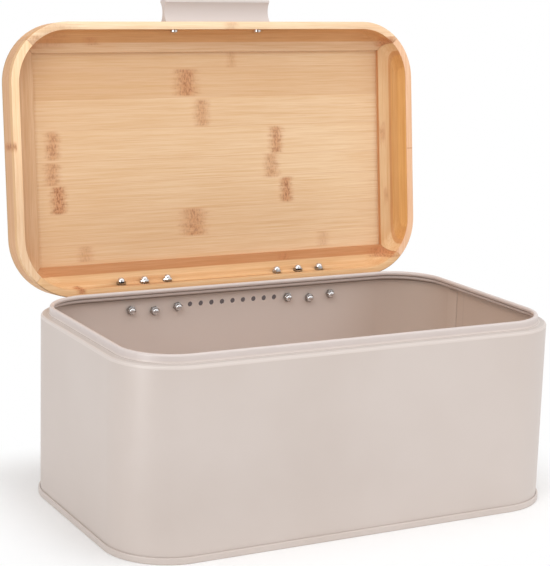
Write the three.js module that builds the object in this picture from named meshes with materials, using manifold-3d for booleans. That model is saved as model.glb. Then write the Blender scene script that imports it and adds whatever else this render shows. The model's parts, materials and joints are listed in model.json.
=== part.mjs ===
// Bread box: a painted sheet steel tub with a hinged bamboo lid.
// Millimetres. X runs to the right, Y to the back, Z up.
// The lid stands open against the stops of its two hinges.
import * as THREE from 'three';
import { mergeVertices } from 'three/addons/utils/BufferGeometryUtils.js';
import Module from 'manifold-3d';

const wasm = await Module();
wasm.setup();

// Plan shared by the tub and the lid
const BOX_WIDTH = 420;
const BOX_DEPTH = 250;
const CORNER_RADIUS = 55;
const CORNER_STEPS = 8;

// Clearances
const SEAT_GAP = 0.3;
const OVERRUN = 2;

// Tub wall and its rolled lip
const SHEET = 1;
const SHOULDER_HEIGHT = 164;
const SHOULDER_ROUND = 2.5;
const LIP_INSET = 7.6;
const LIP_RISE = 7.3;
const LIP_FILLET = 1.2;
const BEAD_RADIUS = 2;
const ARC_STEPS = 4;
const FILLET_STEPS = 3;
const BEAD_STEPS = 10;

// Overlap of the sheet where the wall closes on itself, inside the right wall
const LAP_WIDTH = 9;
const LAP_THICKNESS = 0.5;
const LAP_FROM_CORNER = 6;
const LAP_TOP_MARGIN = 4;

// Row of vent holes in the rear wall
const VENT_COUNT = 9;
const VENT_PITCH = 11.2;
const VENT_RADIUS = 2.25;
const VENT_DROP = 11.7;
const VENT_STEPS = 12;

// Base pan, rolled round the foot of the wall
const SEAM_HEIGHT = 5.8;
const SEAM_PROUD = 1.8;
const SEAM_ROUND = 0.9;
const SEAM_FOLD = 1.3;
const FOOT_WIDTH = 3.6;
const FOOT_SLOPE = 2.4;
const FLOOR_LIFT = 2;
const FLOOR_SHEET = 1;

// Bamboo lid
const LID_SEAT_GAP = 0.5;
const LID_HEIGHT = 29.5;
const LID_ROUND = 4;
const RIM_EASE = 0.8;
const LIP_CLEARANCE = 0.6;
const POCKET_DEPTH = 20;
const POCKET_STRAIGHT = 8.5;
const COVE_REACH = 6.5;
const REAR_COVE_REACH = 11.5;
const COVE_STEPS = 4;
const LEDGE_INSET = 27.3;
const LEDGE_THICKNESS = 4;
const PANEL_REBATE = 6;
const MITRE_GAP = 0.3;

// Hinges
const OPEN_ANGLE_DEG = 96.5;
const HINGE_SPACING = 164.6;
const LEAF_WIDTH = 62;
const LEAF_THICKNESS = 1.4;
const LEAF_CORNER = 4;
const LEAF_EDGE_MARGIN = 6;
const LEAF_LOBE_RADIUS = 6;
const KNUCKLE_RADIUS = 3.7;
const KNUCKLE_COUNT = 5;
const KNUCKLE_STEPS = 20;
const KNUCKLE_NOTCH_GAP = 0.5;
const PIN_RADIUS = 2;
const PIN_CLEARANCE = 0.3;
const PIN_HEAD_RADIUS = 3;
const PIN_HEAD_LENGTH = 1.2;
const PIN_STEPS = 16;
const AXIS_DROP = 3;
const STOP_REACH = 9;

// Hinge screws and their cap nuts
const HINGE_SCREW_PITCH = 23.6;
const BODY_SCREW_DROP = 12.6;
const BODY_MIDDLE_DROP = 2.2;
const LID_SCREW_RISE = 12.8;
const SCREW_HEAD_RADIUS = 3.9;
const SCREW_HEAD_HEIGHT = 2.6;
const SCREW_RADIUS = 1.75;
const SCREW_HOLE_CLEARANCE = 0.3;
const SCREW_END_TAPER = 0.5;
const SCREW_STEPS = 10;
const HEAD_ARC_STEPS = 3;
const RECESS_WIDTH = 1;
const RECESS_REACH = 4.2;
const RECESS_DEPTH = 1.4;
const SPOTFACE_MARGIN = 0.6;
const NUT_WIDTH = 7;
const NUT_HEX_HEIGHT = 3.2;
const NUT_HEIGHT = 7;
const NUT_CHAMFER = 0.5;
const NUT_DOME_RADIUS = 3.2;
const NUT_ENGAGEMENT = 4.2;
const NUT_BORE_DEPTH = 4.8;

// Handle on the front rail
const HANDLE_WIDTH = 109;
const HANDLE_REACH = 20.5;
const HANDLE_THICKNESS = 12;
const HANDLE_WAIST = 4.6;
const HANDLE_TIP = 2.7;
const HANDLE_TIP_STEP = 0.6;
const HANDLE_TIP_ROUND = 0.7;
const HANDLE_RISE = 13;
const HANDLE_CURVE_STEPS = 10;
const HANDLE_SCREW_INSET = 10.5;
const HANDLE_SCREW_RADIUS = 1.8;
const HANDLE_SCREW_HEAD_RADIUS = 3.5;
const HANDLE_SCREW_HEAD_HEIGHT = 2.6;
const HANDLE_BORE_DEPTH = 4.8;
const HANDLE_BORE_CLEARANCE = 0.3;

// Places that follow from the sizes
const LIP_TOP = SHOULDER_HEIGHT + LIP_RISE;
const RIM_WIDTH = LIP_INSET - LIP_CLEARANCE;
const RIM_Z = SHOULDER_HEIGHT + LID_SEAT_GAP;
const REAR_FACE = BOX_DEPTH / 2;
const LEAF_Y = REAR_FACE + SEAT_GAP;
const LEAF_OUTER_Y = LEAF_Y + LEAF_THICKNESS;
const AXIS_Y = LEAF_Y + KNUCKLE_RADIUS;
const AXIS_Z = RIM_Z - AXIS_DROP;
const OPEN_ANGLE = THREE.MathUtils.degToRad(OPEN_ANGLE_DEG);
const BODY_SCREW_Z = SHOULDER_HEIGHT - BODY_SCREW_DROP;
const LID_SCREW_Z = RIM_Z + LID_SCREW_RISE;
const HANDLE_Z = RIM_Z + HANDLE_RISE;
const HANDLE_SCREW_SPACING = HANDLE_WIDTH - 2 * HANDLE_SCREW_INSET;
const LEDGE_BACK = POCKET_DEPTH + LEDGE_THICKNESS;
const REBATE_INSET = LEDGE_INSET - PANEL_REBATE;

// Finishes
const paintedSteel = new THREE.MeshStandardMaterial({ color: 0xd4c9c2, roughness: 0.55, metalness: 0.1 });
const bamboo = new THREE.MeshStandardMaterial({ color: 0xe0b283, roughness: 0.6, metalness: 0 });
const bambooDark = new THREE.MeshStandardMaterial({ color: 0xd09a68, roughness: 0.6, metalness: 0 });
const plated = new THREE.MeshStandardMaterial({ color: 0xc9c9c7, roughness: 0.25, metalness: 1 });

// Closed meshes to solids and back
function toSolid(geometry) {
  const bare = geometry.clone();
  bare.deleteAttribute('normal');
  bare.deleteAttribute('uv');
  const merged = mergeVertices(bare);
  const mesh = new wasm.Mesh({
    numProp: 3,
    vertProperties: new Float32Array(merged.attributes.position.array),
    triVerts: new Uint32Array(merged.index.array),
  });
  return new wasm.Manifold(mesh);
}

function toGeometry(solid) {
  const mesh = solid.getMesh();
  const geometry = new THREE.BufferGeometry();
  geometry.setAttribute('position', new THREE.BufferAttribute(new Float32Array(mesh.vertProperties), 3));
  geometry.setIndex(new THREE.BufferAttribute(new Uint32Array(mesh.triVerts), 1));
  geometry.computeVertexNormals();
  return geometry;
}

function cut(solid, ...tools) {
  return tools.reduce((rest, tool) => rest.subtract(toSolid(tool)), solid);
}

function join(solid, ...pieces) {
  return pieces.reduce((whole, piece) => whole.add(toSolid(piece)), solid);
}

// A level ring of the shared plan, moved in by an inset that may differ at the rear
function planRing(inset, z, rearInset = inset) {
  const halfWidth = BOX_WIDTH / 2 - inset;
  const halfDepth = (BOX_DEPTH - inset - rearInset) / 2;
  const centreY = (inset - rearInset) / 2;
  const radius = CORNER_RADIUS - (inset + rearInset) / 2;
  const ring = [];
  const corners = [[1, -1], [1, 1], [-1, 1], [-1, -1]];
  corners.forEach(([sideX, sideY], quarter) => {
    const centreX = sideX * (halfWidth - radius);
    const cornerY = centreY + sideY * (halfDepth - radius);
    for (let step = 0; step <= CORNER_STEPS; step += 1) {
      const angle = (Math.PI / 2) * (quarter - 1 + step / CORNER_STEPS);
      const x = centreX + radius * Math.cos(angle);
      const y = cornerY + radius * Math.sin(angle);
      ring.push(new THREE.Vector3(x, y, z));
    }
  });
  return ring;
}

// Skin over a stack of rings, either capped at both ends or closed on itself
function loftRings(rings, closed) {
  const count = rings[0].length;
  const points = rings.flat();
  const faces = [];
  const bands = closed ? rings.length : rings.length - 1;
  for (let band = 0; band < bands; band += 1) {
    const low = band * count;
    const high = ((band + 1) % rings.length) * count;
    for (let i = 0; i < count; i += 1) {
      const next = (i + 1) % count;
      faces.push(low + i, low + next, high + next);
      faces.push(low + i, high + next, high + i);
    }
  }
  if (!closed) {
    const top = (rings.length - 1) * count;
    const centres = [rings[0], rings[rings.length - 1]].map((ring) => {
      const sum = ring.reduce((total, point) => total.add(point), new THREE.Vector3());
      return sum.divideScalar(count);
    });
    const bottomCentre = points.length;
    points.push(...centres);
    for (let i = 0; i < count; i += 1) {
      const next = (i + 1) % count;
      faces.push(bottomCentre, next, i);
      faces.push(bottomCentre + 1, top + i, top + next);
    }
  }
  const geometry = new THREE.BufferGeometry();
  geometry.setFromPoints(points);
  geometry.setIndex(faces);
  return geometry;
}

// Points of an arc in a profile whose axes are inset and height
function profileArc(inset, z, radius, fromDeg, toDeg, steps) {
  const arc = [];
  for (let step = 0; step <= steps; step += 1) {
    const angle = THREE.MathUtils.degToRad(fromDeg + ((toDeg - fromDeg) * step) / steps);
    arc.push([inset + radius * Math.cos(angle), z + radius * Math.sin(angle)]);
  }
  return arc;
}

function sweepProfile(profile, closed) {
  return loftRings(profile.map(([inset, z]) => planRing(inset, z)), closed);
}

// A box given by its low and high corners
function boxBetween(low, high) {
  const size = high.map((value, axis) => value - low[axis]);
  const box = new THREE.BoxGeometry(...size);
  box.translate(...high.map((value, axis) => (value + low[axis]) / 2));
  return box;
}

// A rod along Y between two depths, at a place in X and Z
function rodAlongY(radius, fromY, toY, x, z, steps = SCREW_STEPS) {
  const rod = new THREE.CylinderGeometry(radius, radius, toY - fromY, steps);
  rod.translate(x, (fromY + toY) / 2, z);
  return rod;
}

function rodAlongX(radius, fromX, toX, y, z, steps) {
  const rod = new THREE.CylinderGeometry(radius, radius, toX - fromX, steps);
  rod.rotateZ(Math.PI / 2);
  rod.translate((fromX + toX) / 2, y, z);
  return rod;
}

// Tub wall: one strip of sheet with a stepped shoulder and a lip rolled inwards
function makeTubWall() {
  const beadInset = LIP_INSET + BEAD_RADIUS;
  const beadZ = LIP_TOP - BEAD_RADIUS;
  const curlDeg = THREE.MathUtils.radToDeg(Math.acos(SHEET / BEAD_RADIUS - 1));
  const filletInset = LIP_INSET - LIP_FILLET;
  const filletZ = SHOULDER_HEIGHT + LIP_FILLET;
  const shoulderZ = SHOULDER_HEIGHT - SHOULDER_ROUND;
  const wallFoot = SEAM_FOLD + SEAT_GAP;
  const profile = [
    [0, wallFoot],
    ...profileArc(SHOULDER_ROUND, shoulderZ, SHOULDER_ROUND, 180, 90, ARC_STEPS),
    ...profileArc(filletInset, filletZ, LIP_FILLET, 270, 360, FILLET_STEPS),
    ...profileArc(beadInset, beadZ, BEAD_RADIUS, 180, -curlDeg, BEAD_STEPS),
    ...profileArc(filletInset, filletZ, LIP_FILLET + SHEET, 0, -90, FILLET_STEPS),
    ...profileArc(SHOULDER_ROUND, shoulderZ, SHOULDER_ROUND - SHEET, 90, 180, ARC_STEPS),
    [SHEET, wallFoot],
  ];
  const lapY = REAR_FACE - CORNER_RADIUS - LAP_FROM_CORNER;
  const lapX = BOX_WIDTH / 2 - SHEET / 2;
  const lap = boxBetween(
    [lapX - SHEET / 2 - LAP_THICKNESS, lapY - LAP_WIDTH / 2, FLOOR_LIFT + FLOOR_SHEET + SEAT_GAP],
    [lapX, lapY + LAP_WIDTH / 2, SHOULDER_HEIGHT - LAP_TOP_MARGIN],
  );
  const holes = [];
  for (let i = 0; i < VENT_COUNT; i += 1) {
    const x = (i - (VENT_COUNT - 1) / 2) * VENT_PITCH;
    holes.push(rodAlongY(VENT_RADIUS, REAR_FACE - OVERRUN, REAR_FACE + OVERRUN, x, ventZ(), VENT_STEPS));
  }
  hingeScrewPlaces('body').forEach(({ x, z }) => {
    const radius = SCREW_RADIUS + SCREW_HOLE_CLEARANCE;
    holes.push(rodAlongY(radius, REAR_FACE - OVERRUN, REAR_FACE + OVERRUN, x, z));
  });
  const wall = join(toSolid(sweepProfile(profile, true)), lap);
  return toGeometry(cut(wall, ...holes));
}

function ventZ() {
  return SHOULDER_HEIGHT - VENT_DROP;
}

// Base pan: a raised floor whose edge is folded round the foot of the wall
function makeBasePan() {
  const floorTop = FLOOR_LIFT + FLOOR_SHEET;
  const roundInset = SEAM_ROUND - SEAM_PROUD;
  const profile = [
    [FOOT_WIDTH + FOOT_SLOPE, FLOOR_LIFT],
    [FOOT_WIDTH, 0],
    ...profileArc(roundInset, SEAM_ROUND, SEAM_ROUND, 270, 180, FILLET_STEPS),
    ...profileArc(roundInset, SEAM_HEIGHT - SEAM_ROUND, SEAM_ROUND, 180, 90, FILLET_STEPS),
    [-SEAT_GAP, SEAM_HEIGHT],
    [-SEAT_GAP, SEAM_FOLD],
    [SHEET + SEAT_GAP, SEAM_FOLD],
    [SHEET + SEAT_GAP, floorTop],
  ];
  return sweepProfile(profile, false);
}

// Lid frame before it is cut into rails: rounded block, tapered pocket, ledge and panel rebate
function makeLidFrame() {
  const top = RIM_Z + LID_HEIGHT;
  const block = sweepProfile([
    [RIM_EASE, RIM_Z],
    [0, RIM_Z + RIM_EASE],
    ...profileArc(LID_ROUND, top - LID_ROUND, LID_ROUND, 180, 90, ARC_STEPS),
  ], false);
  const floorZ = RIM_Z + POCKET_DEPTH;
  const coveRings = [];
  for (let step = 0; step <= COVE_STEPS; step += 1) {
    const angle = (Math.PI / 2) * (step / COVE_STEPS);
    const share = 1 - Math.cos(angle);
    const z = RIM_Z + POCKET_STRAIGHT + (POCKET_DEPTH - POCKET_STRAIGHT) * Math.sin(angle);
    coveRings.push(planRing(RIM_WIDTH + COVE_REACH * share, z, RIM_WIDTH + REAR_COVE_REACH * share));
  }
  const pocket = loftRings([planRing(RIM_WIDTH, RIM_Z - OVERRUN), ...coveRings], false);
  const opening = insetBox(LEDGE_INSET, floorZ - OVERRUN, RIM_Z + LEDGE_BACK + OVERRUN);
  const rebate = insetBox(REBATE_INSET, RIM_Z + LEDGE_BACK, top + OVERRUN);
  return cut(toSolid(block), pocket, opening, rebate);
}

// A square-cornered box that follows the plan at an inset
function insetBox(inset, fromZ, toZ) {
  const halfWidth = BOX_WIDTH / 2 - inset;
  const halfDepth = BOX_DEPTH / 2 - inset;
  return boxBetween([-halfWidth, -halfDepth, fromZ], [halfWidth, halfDepth, toZ]);
}

// Wedge in plan that keeps one side of the lid frame between its two mitres
function mitreWedge(side) {
  const half = side.alongX ? BOX_WIDTH / 2 : BOX_DEPTH / 2;
  const across = side.alongX ? BOX_DEPTH / 2 : BOX_WIDTH / 2;
  const reach = 2 * LEDGE_INSET;
  const shift = MITRE_GAP / Math.SQRT2;
  const outline = [
    [-half - OVERRUN + shift, across + OVERRUN],
    [-half + reach + shift, across - reach],
    [half - reach - shift, across - reach],
    [half + OVERRUN - shift, across + OVERRUN],
  ];
  const points = outline.map(([along, out]) => {
    const x = side.alongX ? along : out * side.sign;
    const y = side.alongX ? out * side.sign : along;
    return new THREE.Vector2(x, y);
  });
  const depth = LID_HEIGHT + 2 * OVERRUN;
  const wedge = new THREE.ExtrudeGeometry(new THREE.Shape(points), { depth, bevelEnabled: false });
  wedge.translate(0, 0, RIM_Z - OVERRUN);
  return wedge;
}

function makeRail(frame, side, holes) {
  const rail = frame.intersect(toSolid(mitreWedge(side)));
  return toGeometry(cut(rail, ...holes));
}

// Clearance hole from the outer face into the pocket, with a flat cut level with the straight wall
function fastenerHole(facing, x, z, shankRadius, flatRadius) {
  const outerY = REAR_FACE + OVERRUN;
  const flatY = REAR_FACE - RIM_WIDTH;
  const innerY = REAR_FACE - LEDGE_INSET - OVERRUN;
  const rods = [
    rodAlongY(shankRadius + SCREW_HOLE_CLEARANCE, innerY, outerY, x, z),
    rodAlongY(flatRadius + SPOTFACE_MARGIN, innerY, flatY, x, z, PIN_STEPS),
  ];
  if (facing < 0) {
    rods.forEach((rod) => rod.rotateZ(Math.PI));
  }
  return rods;
}

function rearRailHoles() {
  const flatRadius = NUT_WIDTH / Math.sqrt(3);
  return hingeScrewPlaces('lid').flatMap(({ x, z }) => fastenerHole(1, x, z, SCREW_RADIUS, flatRadius));
}

function frontRailHoles() {
  return [-1, 1].flatMap((side) => {
    const x = (side * HANDLE_SCREW_SPACING) / 2;
    return fastenerHole(-1, x, HANDLE_Z, HANDLE_SCREW_RADIUS, HANDLE_SCREW_HEAD_RADIUS);
  });
}

// Lid panel: a glued bamboo board dropped into the rebate from outside
function makeLidPanel() {
  const fromZ = RIM_Z + LEDGE_BACK + SEAT_GAP;
  return insetBox(REBATE_INSET + SEAT_GAP, fromZ, RIM_Z + LID_HEIGHT);
}

// Handle: a bar with both faces hollowed and a flat lip at its tip
function makeHandle() {
  const half = HANDLE_THICKNESS / 2;
  const neck = half - HANDLE_TIP_STEP;
  const root = SEAT_GAP;
  const tip = SEAT_GAP + HANDLE_REACH;
  const crease = tip - HANDLE_TIP;
  const middle = (root + crease) / 2;
  const control = HANDLE_WAIST - (half + neck) / 2;
  const shape = new THREE.Shape();
  shape.moveTo(root, -half);
  shape.quadraticCurveTo(middle, -control, crease, -neck);
  shape.lineTo(crease, -half);
  shape.lineTo(tip - HANDLE_TIP_ROUND, -half);
  shape.quadraticCurveTo(tip, -half, tip, -half + HANDLE_TIP_ROUND);
  shape.lineTo(tip, half - HANDLE_TIP_ROUND);
  shape.quadraticCurveTo(tip, half, tip - HANDLE_TIP_ROUND, half);
  shape.lineTo(crease, half);
  shape.lineTo(crease, neck);
  shape.quadraticCurveTo(middle, control, root, half);
  shape.closePath();
  const settings = { depth: HANDLE_WIDTH, bevelEnabled: false, curveSegments: HANDLE_CURVE_STEPS };
  const bar = new THREE.ExtrudeGeometry(shape, settings);
  bar.translate(0, 0, -HANDLE_WIDTH / 2);
  const outward = new THREE.Vector3(0, -1, 0);
  const upward = new THREE.Vector3(0, 0, 1);
  const sideways = new THREE.Vector3(-1, 0, 0);
  bar.applyMatrix4(new THREE.Matrix4().makeBasis(outward, upward, sideways));
  bar.translate(0, -REAR_FACE, HANDLE_Z);
  const boreRadius = HANDLE_SCREW_RADIUS + HANDLE_BORE_CLEARANCE;
  const boreEnd = -REAR_FACE - SEAT_GAP - HANDLE_BORE_DEPTH;
  const bores = [-1, 1].map((side) => {
    const x = (side * HANDLE_SCREW_SPACING) / 2;
    return rodAlongY(boreRadius, boreEnd, -REAR_FACE, x, HANDLE_Z);
  });
  return toGeometry(cut(toSolid(bar), ...bores));
}

// Pan head screw standing on the origin: shank down along -Y, head above
function makeScrew(headRadius, headHeight, shankRadius, shankLength) {
  const edge = headHeight / 2;
  const taper = SCREW_END_TAPER;
  const profile = [[0, -shankLength], [shankRadius - taper, -shankLength]];
  profile.push([shankRadius, taper - shankLength], [shankRadius, 0], [headRadius, 0]);
  for (let step = 0; step <= HEAD_ARC_STEPS; step += 1) {
    const angle = (Math.PI / 2) * (step / HEAD_ARC_STEPS);
    const radius = step === HEAD_ARC_STEPS ? 0 : headRadius * Math.cos(angle);
    profile.push([radius, edge + (headHeight - edge) * Math.sin(angle)]);
  }
  const screw = turnOnY(profile, SCREW_STEPS);
  const arms = [[RECESS_REACH, RECESS_WIDTH], [RECESS_WIDTH, RECESS_REACH]].map(([sizeX, sizeZ]) => {
    const low = [-sizeX / 2, headHeight - RECESS_DEPTH, -sizeZ / 2];
    return boxBetween(low, [sizeX / 2, headHeight + OVERRUN, sizeZ / 2]);
  });
  return cut(toSolid(screw), ...arms);
}

// Domed cap nut with its seat on the origin and its dome pointing along -Y
function makeCapNut() {
  const corner = NUT_WIDTH / Math.sqrt(3);
  const hexagon = new THREE.CylinderGeometry(corner, corner, NUT_HEX_HEIGHT, 6);
  hexagon.translate(0, -NUT_HEX_HEIGHT / 2, 0);
  const chamfer = [
    [0, -NUT_HEX_HEIGHT],
    [NUT_WIDTH / 2, -NUT_HEX_HEIGHT],
    [corner, NUT_CHAMFER - NUT_HEX_HEIGHT],
    [corner, -NUT_CHAMFER],
    [NUT_WIDTH / 2, 0],
    [0, 0],
  ];
  const collar = turnOnY(chamfer, SCREW_STEPS);
  const domeFoot = NUT_CHAMFER - NUT_HEX_HEIGHT;
  const domeRise = NUT_HEIGHT - NUT_HEX_HEIGHT;
  const dome = [];
  for (let step = 0; step <= HEAD_ARC_STEPS; step += 1) {
    const angle = (Math.PI / 2) * (1 - step / HEAD_ARC_STEPS);
    const radius = step === 0 ? 0 : NUT_DOME_RADIUS * Math.cos(angle);
    dome.push([radius, -NUT_HEX_HEIGHT - domeRise * Math.sin(angle)]);
  }
  dome.push([NUT_DOME_RADIUS, domeFoot], [0, domeFoot]);
  const bore = rodAlongY(SCREW_RADIUS + SCREW_HOLE_CLEARANCE, -NUT_BORE_DEPTH, OVERRUN, 0, 0);
  const head = toSolid(hexagon).intersect(toSolid(collar));
  return cut(join(head, turnOnY(dome, SCREW_STEPS)), bore);
}

// A turned piece about the Y axis from radius and height pairs, lowest first
function turnOnY(profile, steps) {
  const points = profile.map(([radius, y]) => new THREE.Vector2(radius, y));
  return new THREE.LatheGeometry(points, steps);
}

// Places of the hinge screws in the rear wall or in the rear rail
function hingeScrewPlaces(carrier, side = null) {
  const sides = side === null ? [-1, 1] : [side];
  return sides.flatMap((hingeSide) => [-1, 0, 1].map((index) => {
    const x = (hingeSide * HINGE_SPACING) / 2 + index * HINGE_SCREW_PITCH;
    const bodyZ = index === 0 ? BODY_SCREW_Z - BODY_MIDDLE_DROP : BODY_SCREW_Z;
    return { x, z: carrier === 'body' ? bodyZ : LID_SCREW_Z };
  }));
}

// Flat plate of a leaf with rounded corners, in the XZ plane behind the rear face
function leafPlate(centreX, fromZ, toZ) {
  const half = LEAF_WIDTH / 2;
  const shape = new THREE.Shape();
  shape.moveTo(-half + LEAF_CORNER, fromZ);
  shape.lineTo(half - LEAF_CORNER, fromZ);
  shape.quadraticCurveTo(half, fromZ, half, fromZ + LEAF_CORNER);
  shape.lineTo(half, toZ - LEAF_CORNER);
  shape.quadraticCurveTo(half, toZ, half - LEAF_CORNER, toZ);
  shape.lineTo(-half + LEAF_CORNER, toZ);
  shape.quadraticCurveTo(-half, toZ, -half, toZ - LEAF_CORNER);
  shape.lineTo(-half, fromZ + LEAF_CORNER);
  shape.quadraticCurveTo(-half, fromZ, -half + LEAF_CORNER, fromZ);
  const settings = { depth: LEAF_THICKNESS, bevelEnabled: false, curveSegments: ARC_STEPS };
  const plate = new THREE.ExtrudeGeometry(shape, settings);
  plate.rotateX(Math.PI / 2);
  plate.translate(centreX, LEAF_OUTER_Y, 0);
  return plate;
}

// Span in X of one knuckle of the barrel
function knuckleSpan(centreX, index) {
  const pitch = (LEAF_WIDTH + SEAT_GAP) / KNUCKLE_COUNT;
  const fromX = centreX - LEAF_WIDTH / 2 + index * pitch;
  return [fromX, fromX + pitch - SEAT_GAP];
}

// One leaf of a hinge: plate, its share of the knuckles, and the stop tongues on the lid's leaf
function makeLeaf(side, carrier) {
  const centreX = (side * HINGE_SPACING) / 2;
  const onBody = carrier === 'body';
  const farZ = onBody ? BODY_SCREW_Z - LEAF_EDGE_MARGIN : LID_SCREW_Z + LEAF_EDGE_MARGIN;
  const nearZ = onBody ? AXIS_Z + LEAF_CORNER : AXIS_Z - LEAF_CORNER;
  let leaf = toSolid(leafPlate(centreX, Math.min(farZ, nearZ), Math.max(farZ, nearZ)));
  const trimFrom = onBody ? AXIS_Z : AXIS_Z - LEAF_CORNER - OVERRUN;
  const trimTo = onBody ? AXIS_Z + LEAF_CORNER + OVERRUN : AXIS_Z;
  leaf = cut(leaf, leafSlab(centreX - LEAF_WIDTH, centreX + LEAF_WIDTH, trimFrom, trimTo));
  if (onBody) {
    const lobeZ = BODY_SCREW_Z - BODY_MIDDLE_DROP;
    leaf = join(leaf, rodAlongY(LEAF_LOBE_RADIUS, LEAF_Y, LEAF_OUTER_Y, centreX, lobeZ, PIN_STEPS));
  }
  const clear = KNUCKLE_RADIUS + KNUCKLE_NOTCH_GAP;
  for (let index = 0; index < KNUCKLE_COUNT; index += 1) {
    const [fromX, toX] = knuckleSpan(centreX, index);
    if ((index % 2 === 0) === onBody) {
      leaf = join(leaf, rodAlongX(KNUCKLE_RADIUS, fromX, toX, AXIS_Y, AXIS_Z, KNUCKLE_STEPS));
      leaf = onBody ? leaf : join(leaf, stopTongue(fromX, toX));
    } else {
      const notchFrom = index === 0 ? fromX - OVERRUN : fromX - SEAT_GAP;
      const notchTo = index === KNUCKLE_COUNT - 1 ? toX + OVERRUN : toX + SEAT_GAP;
      leaf = cut(leaf, leafSlab(notchFrom, notchTo, AXIS_Z - clear, AXIS_Z + clear));
    }
  }
  const boreRadius = PIN_RADIUS + PIN_CLEARANCE;
  const barrelEnd = LEAF_WIDTH / 2 + OVERRUN;
  const holes = hingeScrewPlaces(carrier, side).map(({ x, z }) => {
    const radius = SCREW_RADIUS + SCREW_HOLE_CLEARANCE;
    return rodAlongY(radius, LEAF_Y - OVERRUN, LEAF_OUTER_Y + OVERRUN, x, z);
  });
  holes.push(rodAlongX(boreRadius, centreX - barrelEnd, centreX + barrelEnd, AXIS_Y, AXIS_Z, PIN_STEPS));
  return toGeometry(cut(leaf, ...holes));
}

// A slab that covers the leaf's thickness, for trimming the plate
function leafSlab(fromX, toX, fromZ, toZ) {
  return boxBetween([fromX, LEAF_Y - SEAT_GAP, fromZ], [toX, LEAF_OUTER_Y + SEAT_GAP, toZ]);
}

// Stop tongue: with the lid open it hangs beside the body's leaf and bears on it
function stopTongue(fromX, toX) {
  const nearY = LEAF_OUTER_Y + SEAT_GAP - AXIS_Y;
  const tongue = boxBetween([fromX, nearY, -STOP_REACH], [toX, nearY + LEAF_THICKNESS, 0]);
  tongue.rotateX(OPEN_ANGLE);
  tongue.translate(0, AXIS_Y, AXIS_Z);
  return tongue;
}

// Hinge pin with a small head at each end
function makePin(side) {
  const shoulder = LEAF_WIDTH / 2 + SEAT_GAP;
  const end = shoulder + PIN_HEAD_LENGTH;
  const profile = [[0, -end], [PIN_HEAD_RADIUS, -end], [PIN_HEAD_RADIUS, -shoulder], [PIN_RADIUS, -shoulder]];
  const mirrored = profile.map(([radius, y]) => [radius, -y]).reverse();
  const pin = turnOnY([...profile, ...mirrored], PIN_STEPS);
  pin.rotateZ(Math.PI / 2);
  pin.translate((side * HINGE_SPACING) / 2, AXIS_Y, AXIS_Z);
  return pin;
}

function addPiece(group, name, geometry, material) {
  const mesh = new THREE.Mesh(geometry, material);
  mesh.name = name;
  group.add(mesh);
  return mesh;
}

// The tub stands on the ground; the lid swings about the hinge axis
const breadBox = new THREE.Group();
const lidSwing = new THREE.Group();
lidSwing.position.set(0, AXIS_Y, AXIS_Z);
lidSwing.rotation.x = -OPEN_ANGLE;
const lid = new THREE.Group();
lid.position.set(0, -AXIS_Y, -AXIS_Z);
lidSwing.add(lid);
breadBox.add(lidSwing);

addPiece(breadBox, 'body_wall', makeTubWall(), paintedSteel);
addPiece(breadBox, 'base_pan', makeBasePan(), paintedSteel);

const lidFrame = makeLidFrame();
const rails = [
  { name: 'lid_rail_front', side: { alongX: true, sign: -1 }, holes: frontRailHoles() },
  { name: 'lid_rail_rear', side: { alongX: true, sign: 1 }, holes: rearRailHoles() },
  { name: 'lid_rail_left', side: { alongX: false, sign: -1 }, holes: [] },
  { name: 'lid_rail_right', side: { alongX: false, sign: 1 }, holes: [] },
];
rails.forEach(({ name, side, holes }) => addPiece(lid, name, makeRail(lidFrame, side, holes), bambooDark));
addPiece(lid, 'lid_panel', makeLidPanel(), bamboo);
addPiece(lid, 'lid_handle', makeHandle(), paintedSteel);

// Handle screws pass out through the front rail into the handle
const handleScrewLength = RIM_WIDTH + HANDLE_BORE_DEPTH + SEAT_GAP;
const handleScrew = makeScrew(
  HANDLE_SCREW_HEAD_RADIUS,
  HANDLE_SCREW_HEAD_HEIGHT,
  HANDLE_SCREW_RADIUS,
  handleScrewLength,
);
[['left', -1], ['right', 1]].forEach(([sideName, side]) => {
  const screw = addPiece(lid, `handle_screw_${sideName}`, toGeometry(handleScrew), plated);
  screw.position.set((side * HANDLE_SCREW_SPACING) / 2, RIM_WIDTH + SEAT_GAP - REAR_FACE, HANDLE_Z);
});

// Hinges with their pins; screws enter from behind and cap nuts close them inside
const carriers = [
  { carrier: 'body', group: breadBox, thickness: SHEET },
  { carrier: 'lid', group: lid, thickness: RIM_WIDTH },
];
const nutGeometry = toGeometry(makeCapNut());
[['left', -1], ['right', 1]].forEach(([sideName, side]) => {
  addPiece(breadBox, `hinge_${sideName}_pin`, makePin(side), plated);
  carriers.forEach(({ carrier, group, thickness }) => {
    const prefix = `hinge_${sideName}_${carrier}`;
    addPiece(group, `${prefix}_leaf`, makeLeaf(side, carrier), plated);
    const length = LEAF_THICKNESS + thickness + NUT_ENGAGEMENT + 3 * SEAT_GAP;
    const screwGeometry = toGeometry(makeScrew(SCREW_HEAD_RADIUS, SCREW_HEAD_HEIGHT, SCREW_RADIUS, length));
    hingeScrewPlaces(carrier, side).forEach(({ x, z }, index) => {
      const screw = addPiece(group, `${prefix}_screw_${index + 1}`, screwGeometry, plated);
      screw.position.set(x, LEAF_OUTER_Y + SEAT_GAP, z);
      const nut = addPiece(group, `${prefix}_nut_${index + 1}`, nutGeometry, plated);
      nut.position.set(x, REAR_FACE - thickness - SEAT_GAP, z);
    });
  });
});

// The origin lies on the ground under the middle of the open box
const reach = new THREE.Box3().setFromObject(breadBox, true);
breadBox.position.y = -(reach.min.y + reach.max.y) / 2;

export default breadBox;
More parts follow.
